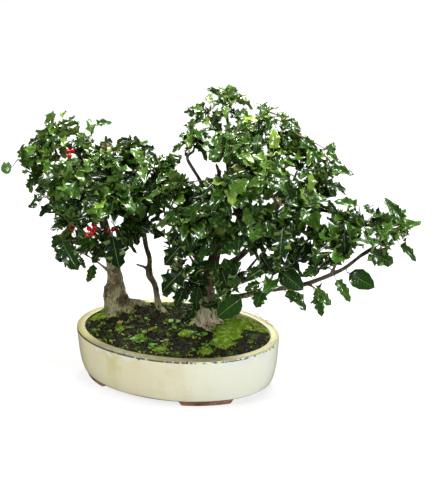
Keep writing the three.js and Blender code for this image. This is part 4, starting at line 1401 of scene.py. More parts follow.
@dataclass(frozen=True)
class PhotoCamera:
    """The camera that took the photograph. Lengths are millimetres round the pot, focal is in pixels."""

    azimuth: float = 18.0
    elevation: float = 19.3
    distance: float = 1600.0
    aim_right: float = 68.6
    aim_height: float = 228.9
    focal: float = 979.0
    width: int = 435
    height: int = 495

    def axes(self) -> tuple[Vector, Vector, Vector]:
        """Gives the camera's right, up and back directions."""
        a, e = math.radians(self.azimuth), math.radians(self.elevation)
        right = Vector((math.cos(a), math.sin(a), 0))
        back = Vector((math.sin(a) * math.cos(e), -math.cos(a) * math.cos(e), math.sin(e)))
        return right, back.cross(right), back

    def eye(self) -> Vector:
        """Gives the camera's place."""
        right, _, back = self.axes()
        return right * self.aim_right + UP * self.aim_height + back * self.distance

    def pixel(self, point: Vector) -> tuple[float, float, float]:
        """Gives a point's column, row and depth in the photograph."""
        right, up, back = self.axes()
        away = point - self.eye()
        depth = -away.dot(back)
        return (self.width / 2 + self.focal * away.dot(right) / depth,
                self.height / 2 - self.focal * away.dot(up) / depth, depth)

    def ray(self, column: float, row: float) -> Vector:
        """Gives the direction in which the camera sees a pixel."""
        right, up, back = self.axes()
        return right * (column - self.width / 2) - up * (row - self.height / 2) - back * self.focal

    def at_depth(self, column: float, row: float, y: float) -> Vector:
        """Gives the point that a pixel shows on the upright plane of that y."""
        eye, ray = self.eye(), self.ray(column, row)
        return eye + ray * ((y - eye.y) / ray.y)

    def on_ground(self, column: float, row: float, height: Callable[[float, float], float]) -> Vector:
        """Gives the point that a pixel shows on a gently sloping ground.

        Args:
            column: The pixel's column.
            row: The pixel's row.
            height: The ground's height at x and y.

        Returns:
            The point.
        """
        eye, ray = self.eye(), self.ray(column, row)
        z = 80.0
        for _ in range(8):
            point = eye + ray * ((z - eye.z) / ray.z)
            z = height(point.x, point.y)
        return Vector((point.x, point.y, z))

    def place(self) -> None:
        """Adds the camera to the scene."""
        data = bpy.data.cameras.new("camera")
        data.lens = self.focal / self.height * data.sensor_width
        data.clip_end = 100
        made = placed("camera", data)
        turn = Matrix(self.axes()).transposed().to_4x4()
        made.matrix_world = Matrix.Translation(in_row(self.eye())) @ turn
        bpy.context.scene.camera = made


CAMERA = PhotoCamera()


# Pot and soil


@dataclass
class Pot:
    """The oval pot, its feet and the screens over its drain holes."""

    long: float = 175.0
    short: float = 124.0
    foot_length: float = 90.0
    foot_slant: float = 6.0
    foot_inset: float = 14.0
    foot_width: float = 20.0
    foot_steps: int = 16
    feet_at: tuple[float, ...] = (32, 122, 212, 302)
    hole_radius: float = 11.0
    holes_at: tuple[float, ...] = (-72, 72)
    sides: int = 144
    profile: tuple[Row, ...] = (
        (170, 8), (60, 8), (15, 8), (12.5, 8.3), (10.6, 9.6), (9.4, 12), (7.6, 17), (5.4, 25), (3.8, 34),
        (2.4, 46), (1.3, 60), (0.5, 72), (0.05, 79.5), (0, 82), (0.35, 83.8), (1.2, 84.8), (2.5, 85),
        (12.4, 85), (13.9, 84.7), (14.8, 83.6), (15, 81.5), (15.6, 71), (16.6, 59), (18.6, 44), (21.6, 26),
        (23.4, 20.5), (26.5, 17.6), (32, 17), (60, 17), (170, 17),
    )

    def oval(self, inset: float, angle: float) -> tuple[float, float]:
        """Gives the point of the oval that lies inset from the rim's edge, at an angle."""
        radius = max(self.long - inset, 1e-6)
        squash = max(radius - (self.long - self.short), radius * 0.55) / radius
        return radius * math.cos(angle), radius * math.sin(angle) * squash

    def ring(self, inset: float, sides: int) -> list[tuple[float, float]]:
        """Gives the points of a ring that lies inset from the rim's edge."""
        return [self.oval(inset, 2 * math.pi * j / sides) for j in range(sides)]

    def bowl(self) -> Piece:
        """Makes the glazed bowl with its drain holes."""
        sketch = Sketch()
        sketch.skin([[sketch.add((x, y, z)) for x, y in self.ring(inset, self.sides)]
                     for inset, z in self.profile])
        bowl = sketch.piece("pot_bowl", GLAZE)
        drills = []
        for x in self.holes_at:
            drill = Sketch()
            drill.tube(Path([(x, 0, 0), (x, 0, 30)]), lambda _: self.hole_radius, 32, 1)
            drills.append(drill.piece("drill", None))
            cut = bowl.modifiers.new("drain", "BOOLEAN")
            cut.operation, cut.solver, cut.object = "DIFFERENCE", "EXACT", drills[-1]
        bowl = settled(bowl)
        for drill in drills:
            bpy.data.objects.remove(drill)
        return finished(bowl, Slot.GLAZE, "pot")

    def feet(self) -> Piece:
        """Makes the four slanted feet, bent with the oval."""
        sketch = Sketch()
        half = self.foot_length / 2
        for degrees in self.feet_at:
            centre = math.radians(degrees)
            middle = Vector(self.oval(self.foot_inset + self.foot_width / 2, centre))
            ahead = Vector(self.oval(self.foot_inset, centre + 0.1))
            chord = (ahead - Vector(self.oval(self.foot_inset, centre - 0.1))).normalized()

            def at(inset: float, reach: float, z: float) -> int:
                low, high = centre - 0.8, centre + 0.8
                for _ in range(40):
                    angle = (low + high) / 2
                    if (Vector(self.oval(inset, angle)) - middle).dot(chord) < reach:
                        low = angle
                    else:
                        high = angle
                return sketch.add((*self.oval(inset, angle), z))

            outer, inner = self.foot_inset, self.foot_inset + self.foot_width
            ring = [(outer + 1.4, 0, 1.0), (outer + 0.3, 0.9, 0.9), (outer, 4, 0.5), (outer, 8.6, 0.0),
                    (inner, 8.6, 0.0), (inner, 4, 0.5), (inner - 0.3, 0.9, 0.9), (inner - 1.4, 0, 1.0)]
            rows = []
            for i in range(self.foot_steps + 1):
                along = 2 * i / self.foot_steps - 1
                rows.append([at(inset, along * (half - self.foot_slant * slant), z)
                             for inset, z, slant in ring])
            sketch.skin(rows)
        return finished(sketch.piece("pot_feet", CLAY, smooth=False), Slot.GLAZE, "pot")

    def dress_screens(self, nodes: dict[str, Piece]) -> None:
        """Gives the two drain screens their plastic."""
        for side in ("left", "right"):
            materials = nodes[f"drain_screen_{side}"].data.materials
            materials.clear()
            materials.append(SCREEN_PLASTIC.material())


@dataclass
class Ground:
    """The soil with its moss, crumbs, weeds and litter."""

    pot: Pot
    edge_z: float = 81.0
    # Thickness of the pot's wall at the soil's edge, and inset at which the open soil starts
    wall: float = 15.0
    inner_inset: float = 15.9
    mounds: tuple[Row, ...] = (
        (-118, 34, 9, 42), (-52, 58, 6, 34), (-86, 60, 5, 26), (48, 20, 10, 48), (100, 10, 4, 30))
    # Moss: column and row in the photograph, radius in millimetres, strength
    moss_spots: tuple[Row, ...] = (
        (240, 324, 28, 1.0), (254, 320, 26, 1.0), (228, 333, 24, 1.0), (222, 343, 18, 1.0),
        (262, 330, 14, 1.0), (106, 315, 18, 1.0), (97, 318, 13, 0.9), (150, 305, 24, 0.8),
        (168, 304, 16, 0.8), (182, 303, 14, 0.8), (140, 338, 12, 0.6), (186, 334, 14, 0.7),
        (206, 352, 14, 0.7), (160, 350, 14, 0.6), (120, 330, 10, 0.6),
    )
    sides: int = 120
    rings: int = 34

    def inward(self, x: float, y: float) -> float:
        """Gives how far in a place lies: 0 at the soil's edge and 1 in the middle."""
        return 1 - math.hypot(x / (self.pot.long - self.wall), y / (self.pot.short - self.wall))

    def height(self, x: float, y: float) -> float:
        """Gives the soil's height at a place, without its crumb."""
        mound = sum(h * math.exp(-((x - mx) ** 2 + (y - my) ** 2) / (2 * s * s))
                    for mx, my, h, s in self.mounds)
        return self.edge_z + smoothstep(self.inward(x, y), 0, 0.3) * (2 + mound)

    @functools.cached_property
    def moss_places(self) -> list[tuple[Vector, float, float]]:
        """Gives the middle, radius and strength of each patch of moss."""
        return [(CAMERA.on_ground(column, row, self.height), radius, strength)
                for column, row, radius, strength in self.moss_spots]

    def moss(self, x: float, y: float) -> float:
        """Gives how mossy a place is, from 0 to 1."""
        most = max(s * math.exp(-(((x - p.x) ** 2 + (y - p.y) ** 2) / (r * r)) ** 1.4)
                   for p, r, s in self.moss_places)
        most = max(most, 0.48 * smoothstep(noise.noise(Vector((x / 10, y / 10, 6))), 0.1, 0.5))
        return min(1.0, most + 0.25 * (noise.noise(Vector((x / 9, y / 9, 4))) * most))

    def surface(self, x: float, y: float) -> float:
        """Gives the soil's height at a place, with its crumb and the moss cushions on it."""
        rough = (noise.noise(Vector((x / 14, y / 14, 1))) * 1.6
                 + noise.noise(Vector((x / 4.5, y / 4.5, 2))) * 0.9)
        cushion = self.moss(x, y) * (2.2 + 1.6 * noise.noise(Vector((x / 7, y / 7, 3))))
        return self.height(x, y) + (rough + cushion) * smoothstep(self.inward(x, y), 0, 0.06)

    def _rows(self, sketch: Sketch, insets: Iterable[float], value: str,
              amount: Callable[[float, float], float]) -> list[list[int]]:
        """Adds rings of points on the soil.

        Args:
            sketch: The mesh that gets them.
            insets: Inset of each ring.
            value: Name of a number that the points keep.
            amount: That number at x and y.

        Returns:
            The rings of point indices.
        """
        rows = []
        for inset in insets:
            rows.append([sketch.add((x, y, self.surface(x, y)), **{value: amount(x, y)})
                         for x, y in self.pot.ring(inset, self.sides)])
        return rows

    def soil(self) -> Piece:
        """Makes the body of soil."""
        sketch = Sketch()
        rows = []
        for inset, z in ((50, 17.3), (28.3, 17.3), (22.3, 24), (16.8, 60)):
            rows.append([sketch.add((x, y, z), moss=0.0) for x, y in self.pot.ring(inset, self.sides)])
        span = self.pot.long - 3 - self.inner_inset
        insets = [self.inner_inset + span * (i / (self.rings - 1)) ** 1.1 for i in range(self.rings)]
        sketch.skin(rows + self._rows(sketch, insets, "moss", self.moss))
        return finished(sketch.piece("soil_body", SOIL), Slot.SOIL, "soil")

    def _bed(self, name: str, amount: Callable[[float, float], float]) -> Piece:
        """Makes the open surface that small things are scattered over, with an amount on each point."""
        sketch = Sketch()
        start, span = self.inner_inset + 1.5, self.pot.long - 5 - self.inner_inset
        insets = [start + span * i / (self.rings - 1) for i in range(self.rings)]
        sketch.skin(self._rows(sketch, insets, "amount", amount), capped=False)
        bed = sketch.piece(name, None, outward=False)
        if bed.data.polygons[0].normal.z < 0:
            bed.data.flip_normals()
        return bed

    def scatter(self, litter: "Scatter", scattering: Scattering) -> Piece:
        """Scatters one kind of small things over the soil.

        Args:
            litter: The kind.
            scattering: The node tree.

        Returns:
            The piece.
        """
        shape = litter.shape(f"{litter.name}_shape")
        bed = self._bed(litter.name, lambda x, y: litter.amount(self.moss(x, y)))
        piece = scattering.run(bed, {
            "Shape": shape, "Per square metre": litter.density, "Smallest": litter.smallest,
            "Largest": litter.largest, "Seed": litter.seed, "Finish": litter.finish.material()})
        bpy.data.objects.remove(shape)
        return finished(piece, Slot.SOIL)


@dataclass(frozen=True)
class Scatter:
    """A kind of small things on the soil. Density is how many a square metre has where amount gives 1."""

    name: str
    shape: Callable[[str], Piece]
    finish: Finish
    density: float
    smallest: float
    largest: float
    seed: int
    # How much of it there is where the soil is so mossy
    amount: Callable[[float], float]


SCATTERS = (
    Scatter("soil_crumbs", crumb_shape, CRUMB, 42000.0, 0.0012, 0.0042, 3,
            lambda moss: max(0.05, 1 - 1.4 * moss)),
    Scatter("moss_tufts", tuft_shape, MOSS_WITH_PAINTED_LIGHT, 420000.0, 0.0018, 0.004, 5,
            lambda moss: smoothstep(moss, 0.3, 0.85)),
    Scatter("pale_grit", crumb_shape, GRIT, 1500.0, 0.0016, 0.0038, 9, lambda moss: 1.0),
)


@dataclass
class GroundPlants:
    """Small round-leaved weeds on the soil, and dry straw and dead leaves over the rim."""

    ground: Ground
    # Weeds: column and row in the photograph, leaves, reach, length of a leaf
    weeds: tuple[Row, ...] = (
        (136, 342, 7, 8, 8), (152, 348, 5, 5, 6.5), (174, 326, 5, 7, 8), (177, 332, 4, 6, 7.5),
        (188, 335, 3, 5, 6), (196, 335, 4, 5, 6), (203, 337, 4, 5, 7), (204, 348, 4, 4, 6),
        (215, 345, 5, 6, 7), (124, 336, 3, 4, 5), (143, 336, 3, 4, 5), (165, 344, 3, 4, 5),
        (228, 347, 3, 5, 6), (148, 322, 3, 4, 5), (192, 352, 3, 4, 5),
    )
    # Straw: column, row and height of its start and of its end
    straws: tuple[Row, ...] = (
        (255, 313, 89, 263, 320, 87), (266, 320, 88, 274, 325, 86.5), (249, 320, 92, 257, 330, 86),
        (236, 316, 94, 246, 323, 90), (214, 342, 84, 220, 335, 88), (126, 338, 82, 135, 335, 84),
        (112, 326, 84, 122, 333, 83), (243, 313, 92, 252, 316, 90), (225, 347, 83, 233, 343, 84),
    )
    # Dead leaves: column and row, length, turn
    dead: tuple[Row, ...] = (
        (250, 325, 15, 0.4), (198, 324, 13, 1.2), (238, 318, 13, 5.0), (124, 322, 12, 3.6),
        (163, 341, 12, 0.9), (262, 328, 12, 2.0), (153, 328, 10, 4.0), (133, 316, 14, 0.3),
        (140, 318, 12, 2.2),
    )
    rim_inset: float = 2.5

    def weed_plants(self, planting: Planting, shapes: Sequence[Piece]) -> Piece:
        """Makes the weeds: rosettes of round leaves on thin stalks."""
        plan = Plan()
        for i, (column, row, count, reach, size) in enumerate(self.weeds):
            root = CAMERA.on_ground(column, row, self.ground.surface)
            for j in range(int(count)):
                out = leaning(UP, 0.35 + 0.7 * draw(i, j, 21), GOLDEN_ANGLE * j + i)
                top = root + out * reach * (0.5 + 0.7 * draw(i, j, 22))
                plan.twig(Path([root, (root + top) / 2 + UP * 1.2, top]), 0.45, 0.35, 3)
                flat = Vector((out.x, out.y, 0.15 + 0.3 * draw(i, j, 25))).normalized()
                length = size * (0.65 + 0.5 * draw(i, j, 23))
                plan.leaves.append(Leaf(top, flat, UP + out * 0.5, length, 0, 0.3, draw(i, j, 24)))
        return finished(plan.piece("small_weeds", planting, shapes, WEED, WEED, 4), Slot.LEAF)

    def lying(self, column: float, row: float, height: float) -> Vector:
        """Gives the point that a pixel shows at a height, drawn in to lie over the pot.

        Args:
            column: The pixel's column.
            row: The pixel's row.
            height: The point's height.

        Returns:
            The point.
        """
        point = CAMERA.on_ground(column, row, lambda x, y: height)
        edge = Vector(self.ground.pot.oval(self.rim_inset, math.atan2(point.y / self.ground.pot.short,
                                                                      point.x / self.ground.pot.long)))
        flat = Vector((point.x, point.y))
        if flat.length > edge.length:
            flat *= edge.length / flat.length
        return Vector((flat.x, flat.y, height))

    def litter(self, planting: Planting, shapes: Sequence[Piece]) -> Piece:
        """Makes the straw and the dead leaves."""
        plan = Plan()
        for i, (column, row, height, to_column, to_row, to_height) in enumerate(self.straws):
            start, end = self.lying(column, row, height), self.lying(to_column, to_row, to_height)
            bend = (start + end) / 2 + UP * (1.0 + 2 * draw(i, 1, 31))
            plan.twig(Path([start, bend, end]), 0.8, 0.4, 6)
        for i, (column, row, length, turn) in enumerate(self.dead):
            base = CAMERA.on_ground(column, row, lambda x, y: self.ground.surface(x, y) + 3.0)
            along = Vector((math.cos(turn), math.sin(turn), 0.15)).normalized()
            plan.leaves.append(Leaf(base, along, UP, length, i, 0.5, draw(i, 2, 31)))
        return finished(plan.piece("dry_litter", planting, shapes, DEAD_LEAF, STRAW, 4), Slot.SOIL)


# Trees


@dataclass
class Trees:
    """Wood of the three trees, and the boughs that carry the sprays."""

    voxel: float = 1.15
    lump: float = 2.2
    plate: float = 0.7
    # A limb whose foot has more than this radius is furrowed like old bark
    stout_from: float = 15.0
    limbs: dict[str, Path] = field(default_factory=dict)
    boughs: dict[str, Bough] = field(default_factory=dict)
    finishes: dict[str, Finish] = field(
        default_factory=lambda: {"left": LEFT_BARK, "middle": MIDDLE_BARK, "right": RIGHT_BARK})

    def __post_init__(self) -> None:
        """Lays out limbs and boughs."""
        for tree, wood in (("left", LEFT_WOOD), ("middle", MIDDLE_WOOD), ("right", RIGHT_WOOD)):
            for name, rows in wood.items():
                self.limbs[f"{tree}_{name}"] = Path(rows)
        for index, (name, limb, share, end, _, _) in enumerate(SPRAYS):
            self.boughs[name] = Bough(self.limbs[limb], share, Vector(end), index)

    @staticmethod
    def ridge(z: float, angle: float) -> float:
        """Gives the lumps and furrows of a stout trunk as a factor on its radius."""
        fade = min(max((190 - z) / 60, 0), 1)
        fine = 0.03 * math.sin(9 * angle + z / 6) + 0.02 * math.sin(14 * angle - z / 4)
        return 1 + fade * (0.07 * math.sin(3 * angle + z / 14) + 0.05 * math.sin(5 * angle - z / 9) + fine)

    def wood(self, tree: str) -> Piece:
        """Makes one tree's wood: its limbs grown together and its boughs."""
        sketch = Sketch()
        for name, limb in self.limbs.items():
            if name.startswith(tree):
                stout = limb.radii[0] > self.stout_from
                ridge = self.ridge if stout else (lambda z, angle: 1 + 0.05 * math.sin(2 * angle + z / 5))
                sketch.tube(limb, limb.radius, 28 if stout else 12, 6 * len(limb.knots), ridge)
        for name, bough in self.boughs.items():
            if SPRAY_LIMBS[name].startswith(tree):
                sketch.tube(bough, bough.radius, 8, 8, end=bough.woody)
        for carrier, share, pixel, y, thick, thin in BARE_TWIGS:
            if SPRAY_LIMBS.get(carrier, carrier).startswith(tree):
                root = {**self.limbs, **self.boughs}[carrier].point(share)
                end = CAMERA.at_depth(*pixel, y)
                bow = (root + end) / 2 + UP * 3
                twig = Path([(*root, thick), (*bow, (thick + thin) / 2), (*end, thin)])
                sketch.tube(twig, twig.radius, 8, 10)
        source = sketch.piece(f"{tree}_wood", self.finishes[tree])
        fuse = source.modifiers.new("fuse", "REMESH")
        fuse.mode, fuse.voxel_size, fuse.use_smooth_shade = "VOXEL", self.voxel * MM, True
        soften = source.modifiers.new("soften", "SMOOTH")
        soften.factor, soften.iterations = 0.5, 2
        made = settled(source)
        self.roughen(made, 0.45 if tree == "middle" else 1.0)
        return finished(made, Slot.BARK, f"{tree}_tree")

    def kept_clear(self) -> list[Row]:
        """Gives places along the wood that stays in sight: column, row, reach and depth."""
        places = []
        steps = 40
        for name, low, high, reach in SHOWN_WOOD:
            for i in range(steps + 1):
                column, row, depth = CAMERA.pixel(self.limbs[name].point(low + (high - low) * i / steps))
                places.append((column, row, reach, depth + 4))
        for column, row, reach, y in SHOWN_SPOTS:
            places.append((column, row, reach, CAMERA.pixel(CAMERA.at_depth(column, row, y))[2]))
        return places

    def roughen(self, wood: Piece, amount: float) -> None:
        """Raises the lumps and plates of old bark, most on the lower wood.

        Args:
            wood: The piece.
            amount: Factor on the height of the lumps.
        """
        moved = []
        for vertex in wood.data.vertices:
            place = vertex.co / MM
            fade = 0.15 + 0.85 * (1 - smoothstep(place.z, 120, 220))
            lump = noise.fractal(place / 13, 1.0, 2.0, 3) * self.lump + noise.noise(place / 3.4) * self.plate
            moved.extend(vertex.co + vertex.normal * (lump * fade * amount * MM))
        wood.data.vertices.foreach_set("co", moved)
        wood.data.update()


SPRAY_LIMBS = {row[0]: row[1] for row in SPRAYS}


@dataclass
class Crown:
    """All leafy sprays. Leaves are turned about their shoot until they have room."""

    trees: Trees
    side_shoots: int = 8
    places: tuple[float, ...] = (0.985, 0.89, 0.8, 0.71, 0.62, 0.53, 0.44, 0.34, 0.24)
    side_places: tuple[float, ...] = (0.98, 0.74, 0.5, 0.28)
    turns: tuple[float, ...] = (0, 0.7, -0.7, 1.4, -1.4, 2.2, 3.1)
    # Millimetres between the middles of two leaves: the least, and what is room enough
    nearest: float = 6.5
    enough: float = 15.0
    # How much a leaf faces up, away from the crown's middle, to the camera, along its shoot and astray
    upward: float = 0.45
    outward: float = 0.5
    frontward: float = 0.4
    onward: float = 0.3
    astray: float = 1.35
    # Age of the lowest leaves, how much younger the highest are, and how much it varies
    oldest: float = 0.95
    younger: float = 0.47
    age_spread: float = 0.66
    stalk_radius: float = 0.6
    # Millimetres that a single leaf's tip comes forward for each pixel of its length
    forward: float = 0.6
    front: Vector = field(default_factory=lambda: CAMERA.axes()[2])
    tops: dict[str, Vector] = field(default_factory=lambda: {
        "left": Vector((-170, 15, 290)), "middle": Vector((-65, 30, 300)), "right": Vector((130, 0, 320))})
    middles: list[Vector] = field(default_factory=list)
    # Places that leaves nearer to the camera keep clear of: column, row, reach and depth
    kept_clear: list[Row] = field(default_factory=list)
    # Corners of the part's box, and how far a leaf may pass it
    box: tuple[Vector, Vector] = (Vector((-1, -1, 0)), Vector((1, 1, 1)))
    over: float = 0.008

    def __post_init__(self) -> None:
        """Places the single leaves, which others keep clear of."""
        self.lone: dict[str, list[Leaf]] = {}
        right, _, back = CAMERA.axes()
        rows = [(spray, row) for spray, group in LONE_LEAVES for row in group]
        for number, (spray, row) in enumerate(rows):
            base, tip, (y, wide, age, kind) = row[:2], row[2:4], row[4:]
            tilt = 0.05 + 0.35 * draw(number, 1, 41)
            face = back + UP * tilt + right * (0.7 * draw(number, 2, 41) - 0.35)
            start = CAMERA.at_depth(*base, y)
            along = CAMERA.at_depth(*tip, y - self.forward * math.dist(base, tip)) - start
            leaf = Leaf(start, along.normalized(), face, along.length, kind, age, 0.5, wide * 0.9)
            self.lone.setdefault(spray, []).append(leaf)
            self.middles.append(leaf.middle())
            column, row, depth = CAMERA.pixel(leaf.middle())
            reach = 0.36 * math.dist(base, tip)
            self.kept_clear.append((column, row, reach, depth + 3))

    @staticmethod
    def within(column: float, row: float) -> bool:
        """Tells whether a pixel lies inside the crown's outline."""
        inside = False
        for (c, r), (d, s) in zip(CROWN_EDGE, CROWN_EDGE[1:] + CROWN_EDGE[:1]):
            if (r > row) != (s > row) and column < c + (row - r) / (s - r) * (d - c):
                inside = not inside
        return inside

    def free(self, point: Vector) -> bool:
        """Tells whether the foliage may cover a point, as the camera sees it."""
        column, row, _ = CAMERA.pixel(point)
        return self.within(column, row) and self.open(point)

    def open(self, point: Vector) -> bool:
        """Tells whether a point hides no opening and nothing that stays in sight."""
        column, row, depth = CAMERA.pixel(point)
        if any(math.hypot(column - c, row - r) < reach for c, r, reach in WINDOWS):
            return False
        return not any(math.hypot(column - c, row - r) < reach and depth < far
                       for c, r, reach, far in self.kept_clear)

    def allowed(self, leaf: Leaf) -> bool:
        """Tells whether a leaf keeps near the part, inside the crown and out of its openings."""
        tip = in_row(leaf.tip())
        low, high = self.box
        if any(tip[k] < low[k] - self.over or tip[k] > high[k] + self.over for k in range(3)):
            return False
        middle, along = leaf.middle(), leaf.along * leaf.length
        if not self.free(middle) or not self.free(leaf.base + along * 0.8):
            return False
        side = leaf.along.cross(leaf.face).normalized() * leaf.length * 0.22
        return all(self.open(point) for point in (leaf.base + along * 0.2, middle + side, middle - side))

    def room(self, leaf: Leaf) -> float:
        """Gives the distance from a leaf's middle to the next leaf's."""
        if not self.middles:
            return 1e3
        return float(np.linalg.norm(np.array(self.middles) - np.array(leaf.middle()), axis=1).min())

    def leaf(self, shoot: Line, share: float, spray: int, j: int, length: float, tree: str) -> Optional[Leaf]:
        """Finds the best place for one leaf.

        Args:
            shoot: The shoot that carries it.
            share: Where on the shoot its stalk starts.
            spray: The spray's number.
            j: The leaf's number on the spray.
            length: Its usual length.
            tree: The tree that it grows on.

        Returns:
            The leaf, or nothing if there is no room for it.
        """
        base, along = shoot.point(share), shoot.tangent(share)
        angle = 0.3 if share > 0.97 else 0.95 + 0.3 * draw(spray, j, 1)
        away = base - self.tops[tree]
        away.z = max(away.z, 0) * 0.5
        away.normalize()
        stray = Vector((draw(spray, j, 3) - 0.5, draw(spray, j, 4) - 0.5, draw(spray, j, 6) - 0.5))
        height = smoothstep(base.z, 180, 450)
        face = (UP * (self.upward + self.upward * height) + away * self.outward
                + self.front * (self.frontward - self.frontward * height)
                + along * self.onward + stray * self.astray)
        best, most = None, self.nearest
        for turn in self.turns:
            direction = leaning(along, angle, j * GOLDEN_ANGLE + draw(spray, j, 2) + turn)
            kind = int(draw(spray, j, 7) * 4)
            one = Leaf(base, direction, face, length * (0.8 + 0.4 * draw(spray, j, 5)), kind)
            room = self.room(one) - 0.6 * abs(turn)
            if room > most and self.allowed(one):
                best, most = one, room
            if most > self.enough:
                break
        if best:
            age = self.oldest - self.younger * height + self.age_spread * (draw(spray, j, 8) - 0.5)
            best.age = min(1.0, max(0.0, age))
            best.length *= 0.82 + 0.18 * smoothstep(best.age, 0.05, 0.4)
            best.tone = draw(spray, j, 9)
            best.wide = 0.9 + 0.25 * draw(spray, j, 10)
            self.middles.append(best.middle())
        return best

    def plan(self, index: int) -> Plan:
        """Lays out the shoots and leaves of one spray."""
        name, limb, _, _, reach, length = SPRAYS[index]
        tree = limb.split("_")[0]
        share_kept = SPARSE.get(name, 1.0)
        bough = self.trees.boughs[name]
        shoot = bough.shoot(reach)
        plan = Plan()
        plan.twig(shoot, 1.5, 0.7)
        found = []
        count = max(3, round(len(self.places) * share_kept))
        step = len(self.places) / count
        for j in range(count):
            found.append(self.leaf(shoot, self.places[int(j * step)], index, j, length, tree))
        for k in range(round(self.side_shoots * share_kept)):
            share = 0.2 + 0.72 * (k + 0.5) / self.side_shoots
            start, along = shoot.point(share), shoot.tangent(share)
            out = leaning(along, 0.75 + 0.4 * draw(index, k, 11), k * GOLDEN_ANGLE + 1.2 * draw(index, k, 12))
            far = reach * (0.45 + 0.6 * draw(index, k, 13))
            bend = start + out * far * 0.5 + UP * far * 0.04
            side = Path([start, bend, start + out * far + UP * far * 0.16])
            if not self.free(side.point(1)):
                continue
            plan.twig(side, 0.9, 0.45, 4)
            for n, place in enumerate(self.side_places):
                found.append(self.leaf(side, place, index, 20 + 5 * k + n, length * 0.95, tree))
        plan.leaves = [leaf for leaf in found if leaf]
        for leaf in self.lone.get(name, []):
            plan.leaves.append(leaf)
            stalk = self.stalk(leaf, (shoot, bough, self.trees.limbs[limb]))
            thick = self.stalk_radius * (1 + min(1.2, (stalk.point(1) - stalk.point(0)).length / 22))
            plan.twig(stalk, thick, self.stalk_radius, 4)
        return plan

    @staticmethod
    def stalk(leaf: Leaf, carriers: Sequence[Line]) -> Path:
        """Gives the way from the wood to a single leaf.

        Args:
            leaf: The leaf.
            carriers: Lines of the wood that may carry it.

        Returns:
            The way from their nearest point.
        """
        steps = 60
        spots = [line.point(k / steps) for line in carriers for k in range(steps + 1)]
        root = min(spots, key=lambda spot: (spot - leaf.base).length)
        return Path([root, (root + leaf.base) / 2 + UP * 1.5, leaf.base])

    def foliage(self, planting: Planting, shapes: Sequence[Piece]) -> None:
        """Makes one piece of each spray."""
        total = 0
        for index, row in enumerate(SPRAYS):
            plan = self.plan(index)
            total += len(plan.leaves)
            piece = plan.piece(f"foliage_{row[0]}", planting, shapes, LEAF, TWIG)
            finished(piece, Slot.LEAF, f"leaves_{row[0]}")
        LOG.info("%d leaves", total)


@dataclass
class BerryClusters:
    """Red berries in spirals round the ends of their stalks."""

    trees: Trees
    radius: float = 4.2
    pitch: float = 4.1
    gap: float = 0.3
    # Pixels kept clear round a cluster and more for each berry, and millimetres kept clear behind it
    clear: float = 7.5
    clear_each: float = 0.5
    behind: float = 10.0

    def stalk(self, spray: str, share: float, lean: Row) -> tuple[Vector, Vector]:
        """Gives where a cluster's stalk leaves its bough, and its direction.

        Args:
            spray: The spray whose bough carries it.
            share: Share of the way along that bough.
            lean: Where the stalk leans to.

        Returns:
            Its foot, and its direction square to the bough.
        """
        bough = self.trees.boughs[spray]
        bow = bough.tangent(share)
        along = (Vector(lean) - bow * Vector(lean).dot(bow)).normalized()
        return bough.point(share) + along * (bough.radius(share) + self.gap), along

    def kept_clear(self) -> list[Row]:
        """Gives the column, row, reach and depth of each cluster, which no nearer leaf may cover."""
        places = []
        for _, spray, share, count, length, lean in BERRIES:
            start, along = self.stalk(spray, share, lean)
            column, row, depth = CAMERA.pixel(start + along * (length + self.pitch * count / 2))
            places.append((column, row, self.clear + self.clear_each * count, depth + self.behind))
        return places

    def clusters(self) -> None:
        """Makes each cluster."""
        for name, spray, share, count, length, lean in BERRIES:
            start, along = self.stalk(spray, share, lean)
            sketch = Sketch()
            reach = length + self.pitch * count
            stalk = Path([start, start + along * reach * 0.5, start + along * reach])
            for i in range(count):
                out = leaning(along, math.pi / 2, i * GOLDEN_ANGLE)
                middle = start + along * (length + self.pitch * i) + out * (self.radius + 0.4)
                sketch.ball(middle, out, self.radius)
            piece = sketch.piece(name + "_fruit", BERRY)
            finished(piece, Slot.BERRY, name)
            stem = Sketch()
            stem.tube(stalk, lambda t: 1.1 - 0.5 * t, 8, 6)
            finished(stem.piece(name + "_stalk", STALK), Slot.BERRY, name)


# The studio


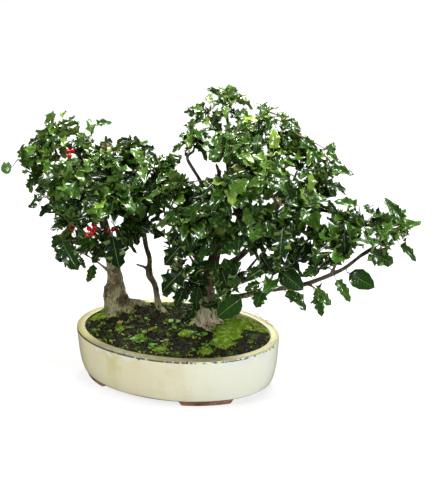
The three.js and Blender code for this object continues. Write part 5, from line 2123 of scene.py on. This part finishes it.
@dataclass
class Studio:
    """White floor, dim surroundings and soft lamps."""

    floor_half: float = 60.0
    surround: float = 0.045
    tint: Colour = (1.0, 1.0, 0.9, 1.0)
    # Lamps: name, place and target in metres, size, power
    lamps: tuple[tuple, ...] = (
        ("lamp_front_left", (-1.2, -1.3, 1.8), (0, 0, 0.25), 0.6, 37),
        ("lamp_over", (0.4, 0.2, 2.2), (0, 0, 0.2), 1.2, 92),
        ("lamp_right", (1.6, -1.0, 0.9), (0, 0, 0.2), 0.5, 21),
        ("lamp_back", (-0.6, 1.7, 1.4), (0, 0, 0.3), 0.6, 28),
    )

    def build(self) -> None:
        """Adds floor, light and camera."""
        floor = Sketch()
        corners = [floor.add((x * self.floor_half, y * self.floor_half, 0))
                   for x, y in ((-1, -1), (1, -1), (1, 1), (-1, 1))]
        floor.face(*corners)
        sheet = floor.piece("floor", WhiteFloor(), in_pot=False, smooth=False, outward=False)
        # Glossy leaves would mirror the glowing floor as a grey haze
        sheet.visible_glossy = False
        sheet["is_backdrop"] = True
        world = bpy.data.worlds.new("surround")
        world.use_nodes = True
        world.node_tree.nodes["Background"].inputs["Color"].default_value = self.tint
        world.node_tree.nodes["Background"].inputs["Strength"].default_value = self.surround
        bpy.context.scene.world = world
        bpy.context.scene.view_settings.view_transform = "Standard"
        for name, place, target, size, power in self.lamps:
            data = bpy.data.lights.new(name, "AREA")
            data.shape, data.size, data.energy = "DISK", size, power
            aim = (Vector(target) - Vector(place)).to_track_quat("-Z", "Y")
            placed(name, data).matrix_world = Matrix.Translation(place) @ aim.to_matrix().to_4x4()
        CAMERA.place()


def leaf_shapes() -> list[Piece]:
    """Makes the five shapes that the leaves' kinds count through."""
    shapes = [
        LeafShape("leaf_even"),
        LeafShape("leaf_broad", half_width=0.34, fold=0.16, wave=0.12, droop=0.16, bulge=0.04),
        LeafShape("leaf_folded", half_width=0.29, fold=0.65, droop=0.5, wave=0.13),
        LeafShape("leaf_twisted", fold=0.3, twist=0.9, droop=0.35, wave=0.15),
        LeafShape("leaf_oval", half_width=0.33, fold=0.1, wave=0.03, droop=0.2, bulge=0.05,
                  stations=OVAL_STATIONS),
    ]
    return [shape.piece() for shape in shapes]


def main() -> None:
    """Builds everything in order."""
    logging.basicConfig(level=logging.INFO, format="%(message)s", stream=sys.stdout)
    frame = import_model()
    cad_low, cad_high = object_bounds()
    Studio().build()

    pot = Pot()
    pot.bowl()
    pot.feet()
    pot.dress_screens(frame["nodes"])

    planting, scattering = Planting(), Scattering()
    ground = Ground(pot)
    ground.soil()
    for litter in SCATTERS:
        ground.scatter(litter, scattering)

    leaves = leaf_shapes()
    rounds = [LeafShape("leaf_round", half_width=0.5, fold=0.15, droop=0.1, wave=0.07, bulge=0.03,
                        stations=ROUND_STATIONS).piece()]
    plants = GroundPlants(ground)
    plants.weed_plants(planting, rounds)
    plants.litter(planting, leaves)

    trees = Trees()
    for tree in ("left", "middle", "right"):
        trees.wood(tree)
    berries = BerryClusters(trees)
    berries.clusters()
    kept_clear = berries.kept_clear() + trees.kept_clear()
    Crown(trees, kept_clear=kept_clear, box=(cad_low, cad_high)).foliage(planting, leaves)
    for shape in leaves + rounds:
        bpy.data.objects.remove(shape)


if __name__ == "__main__":
    main()
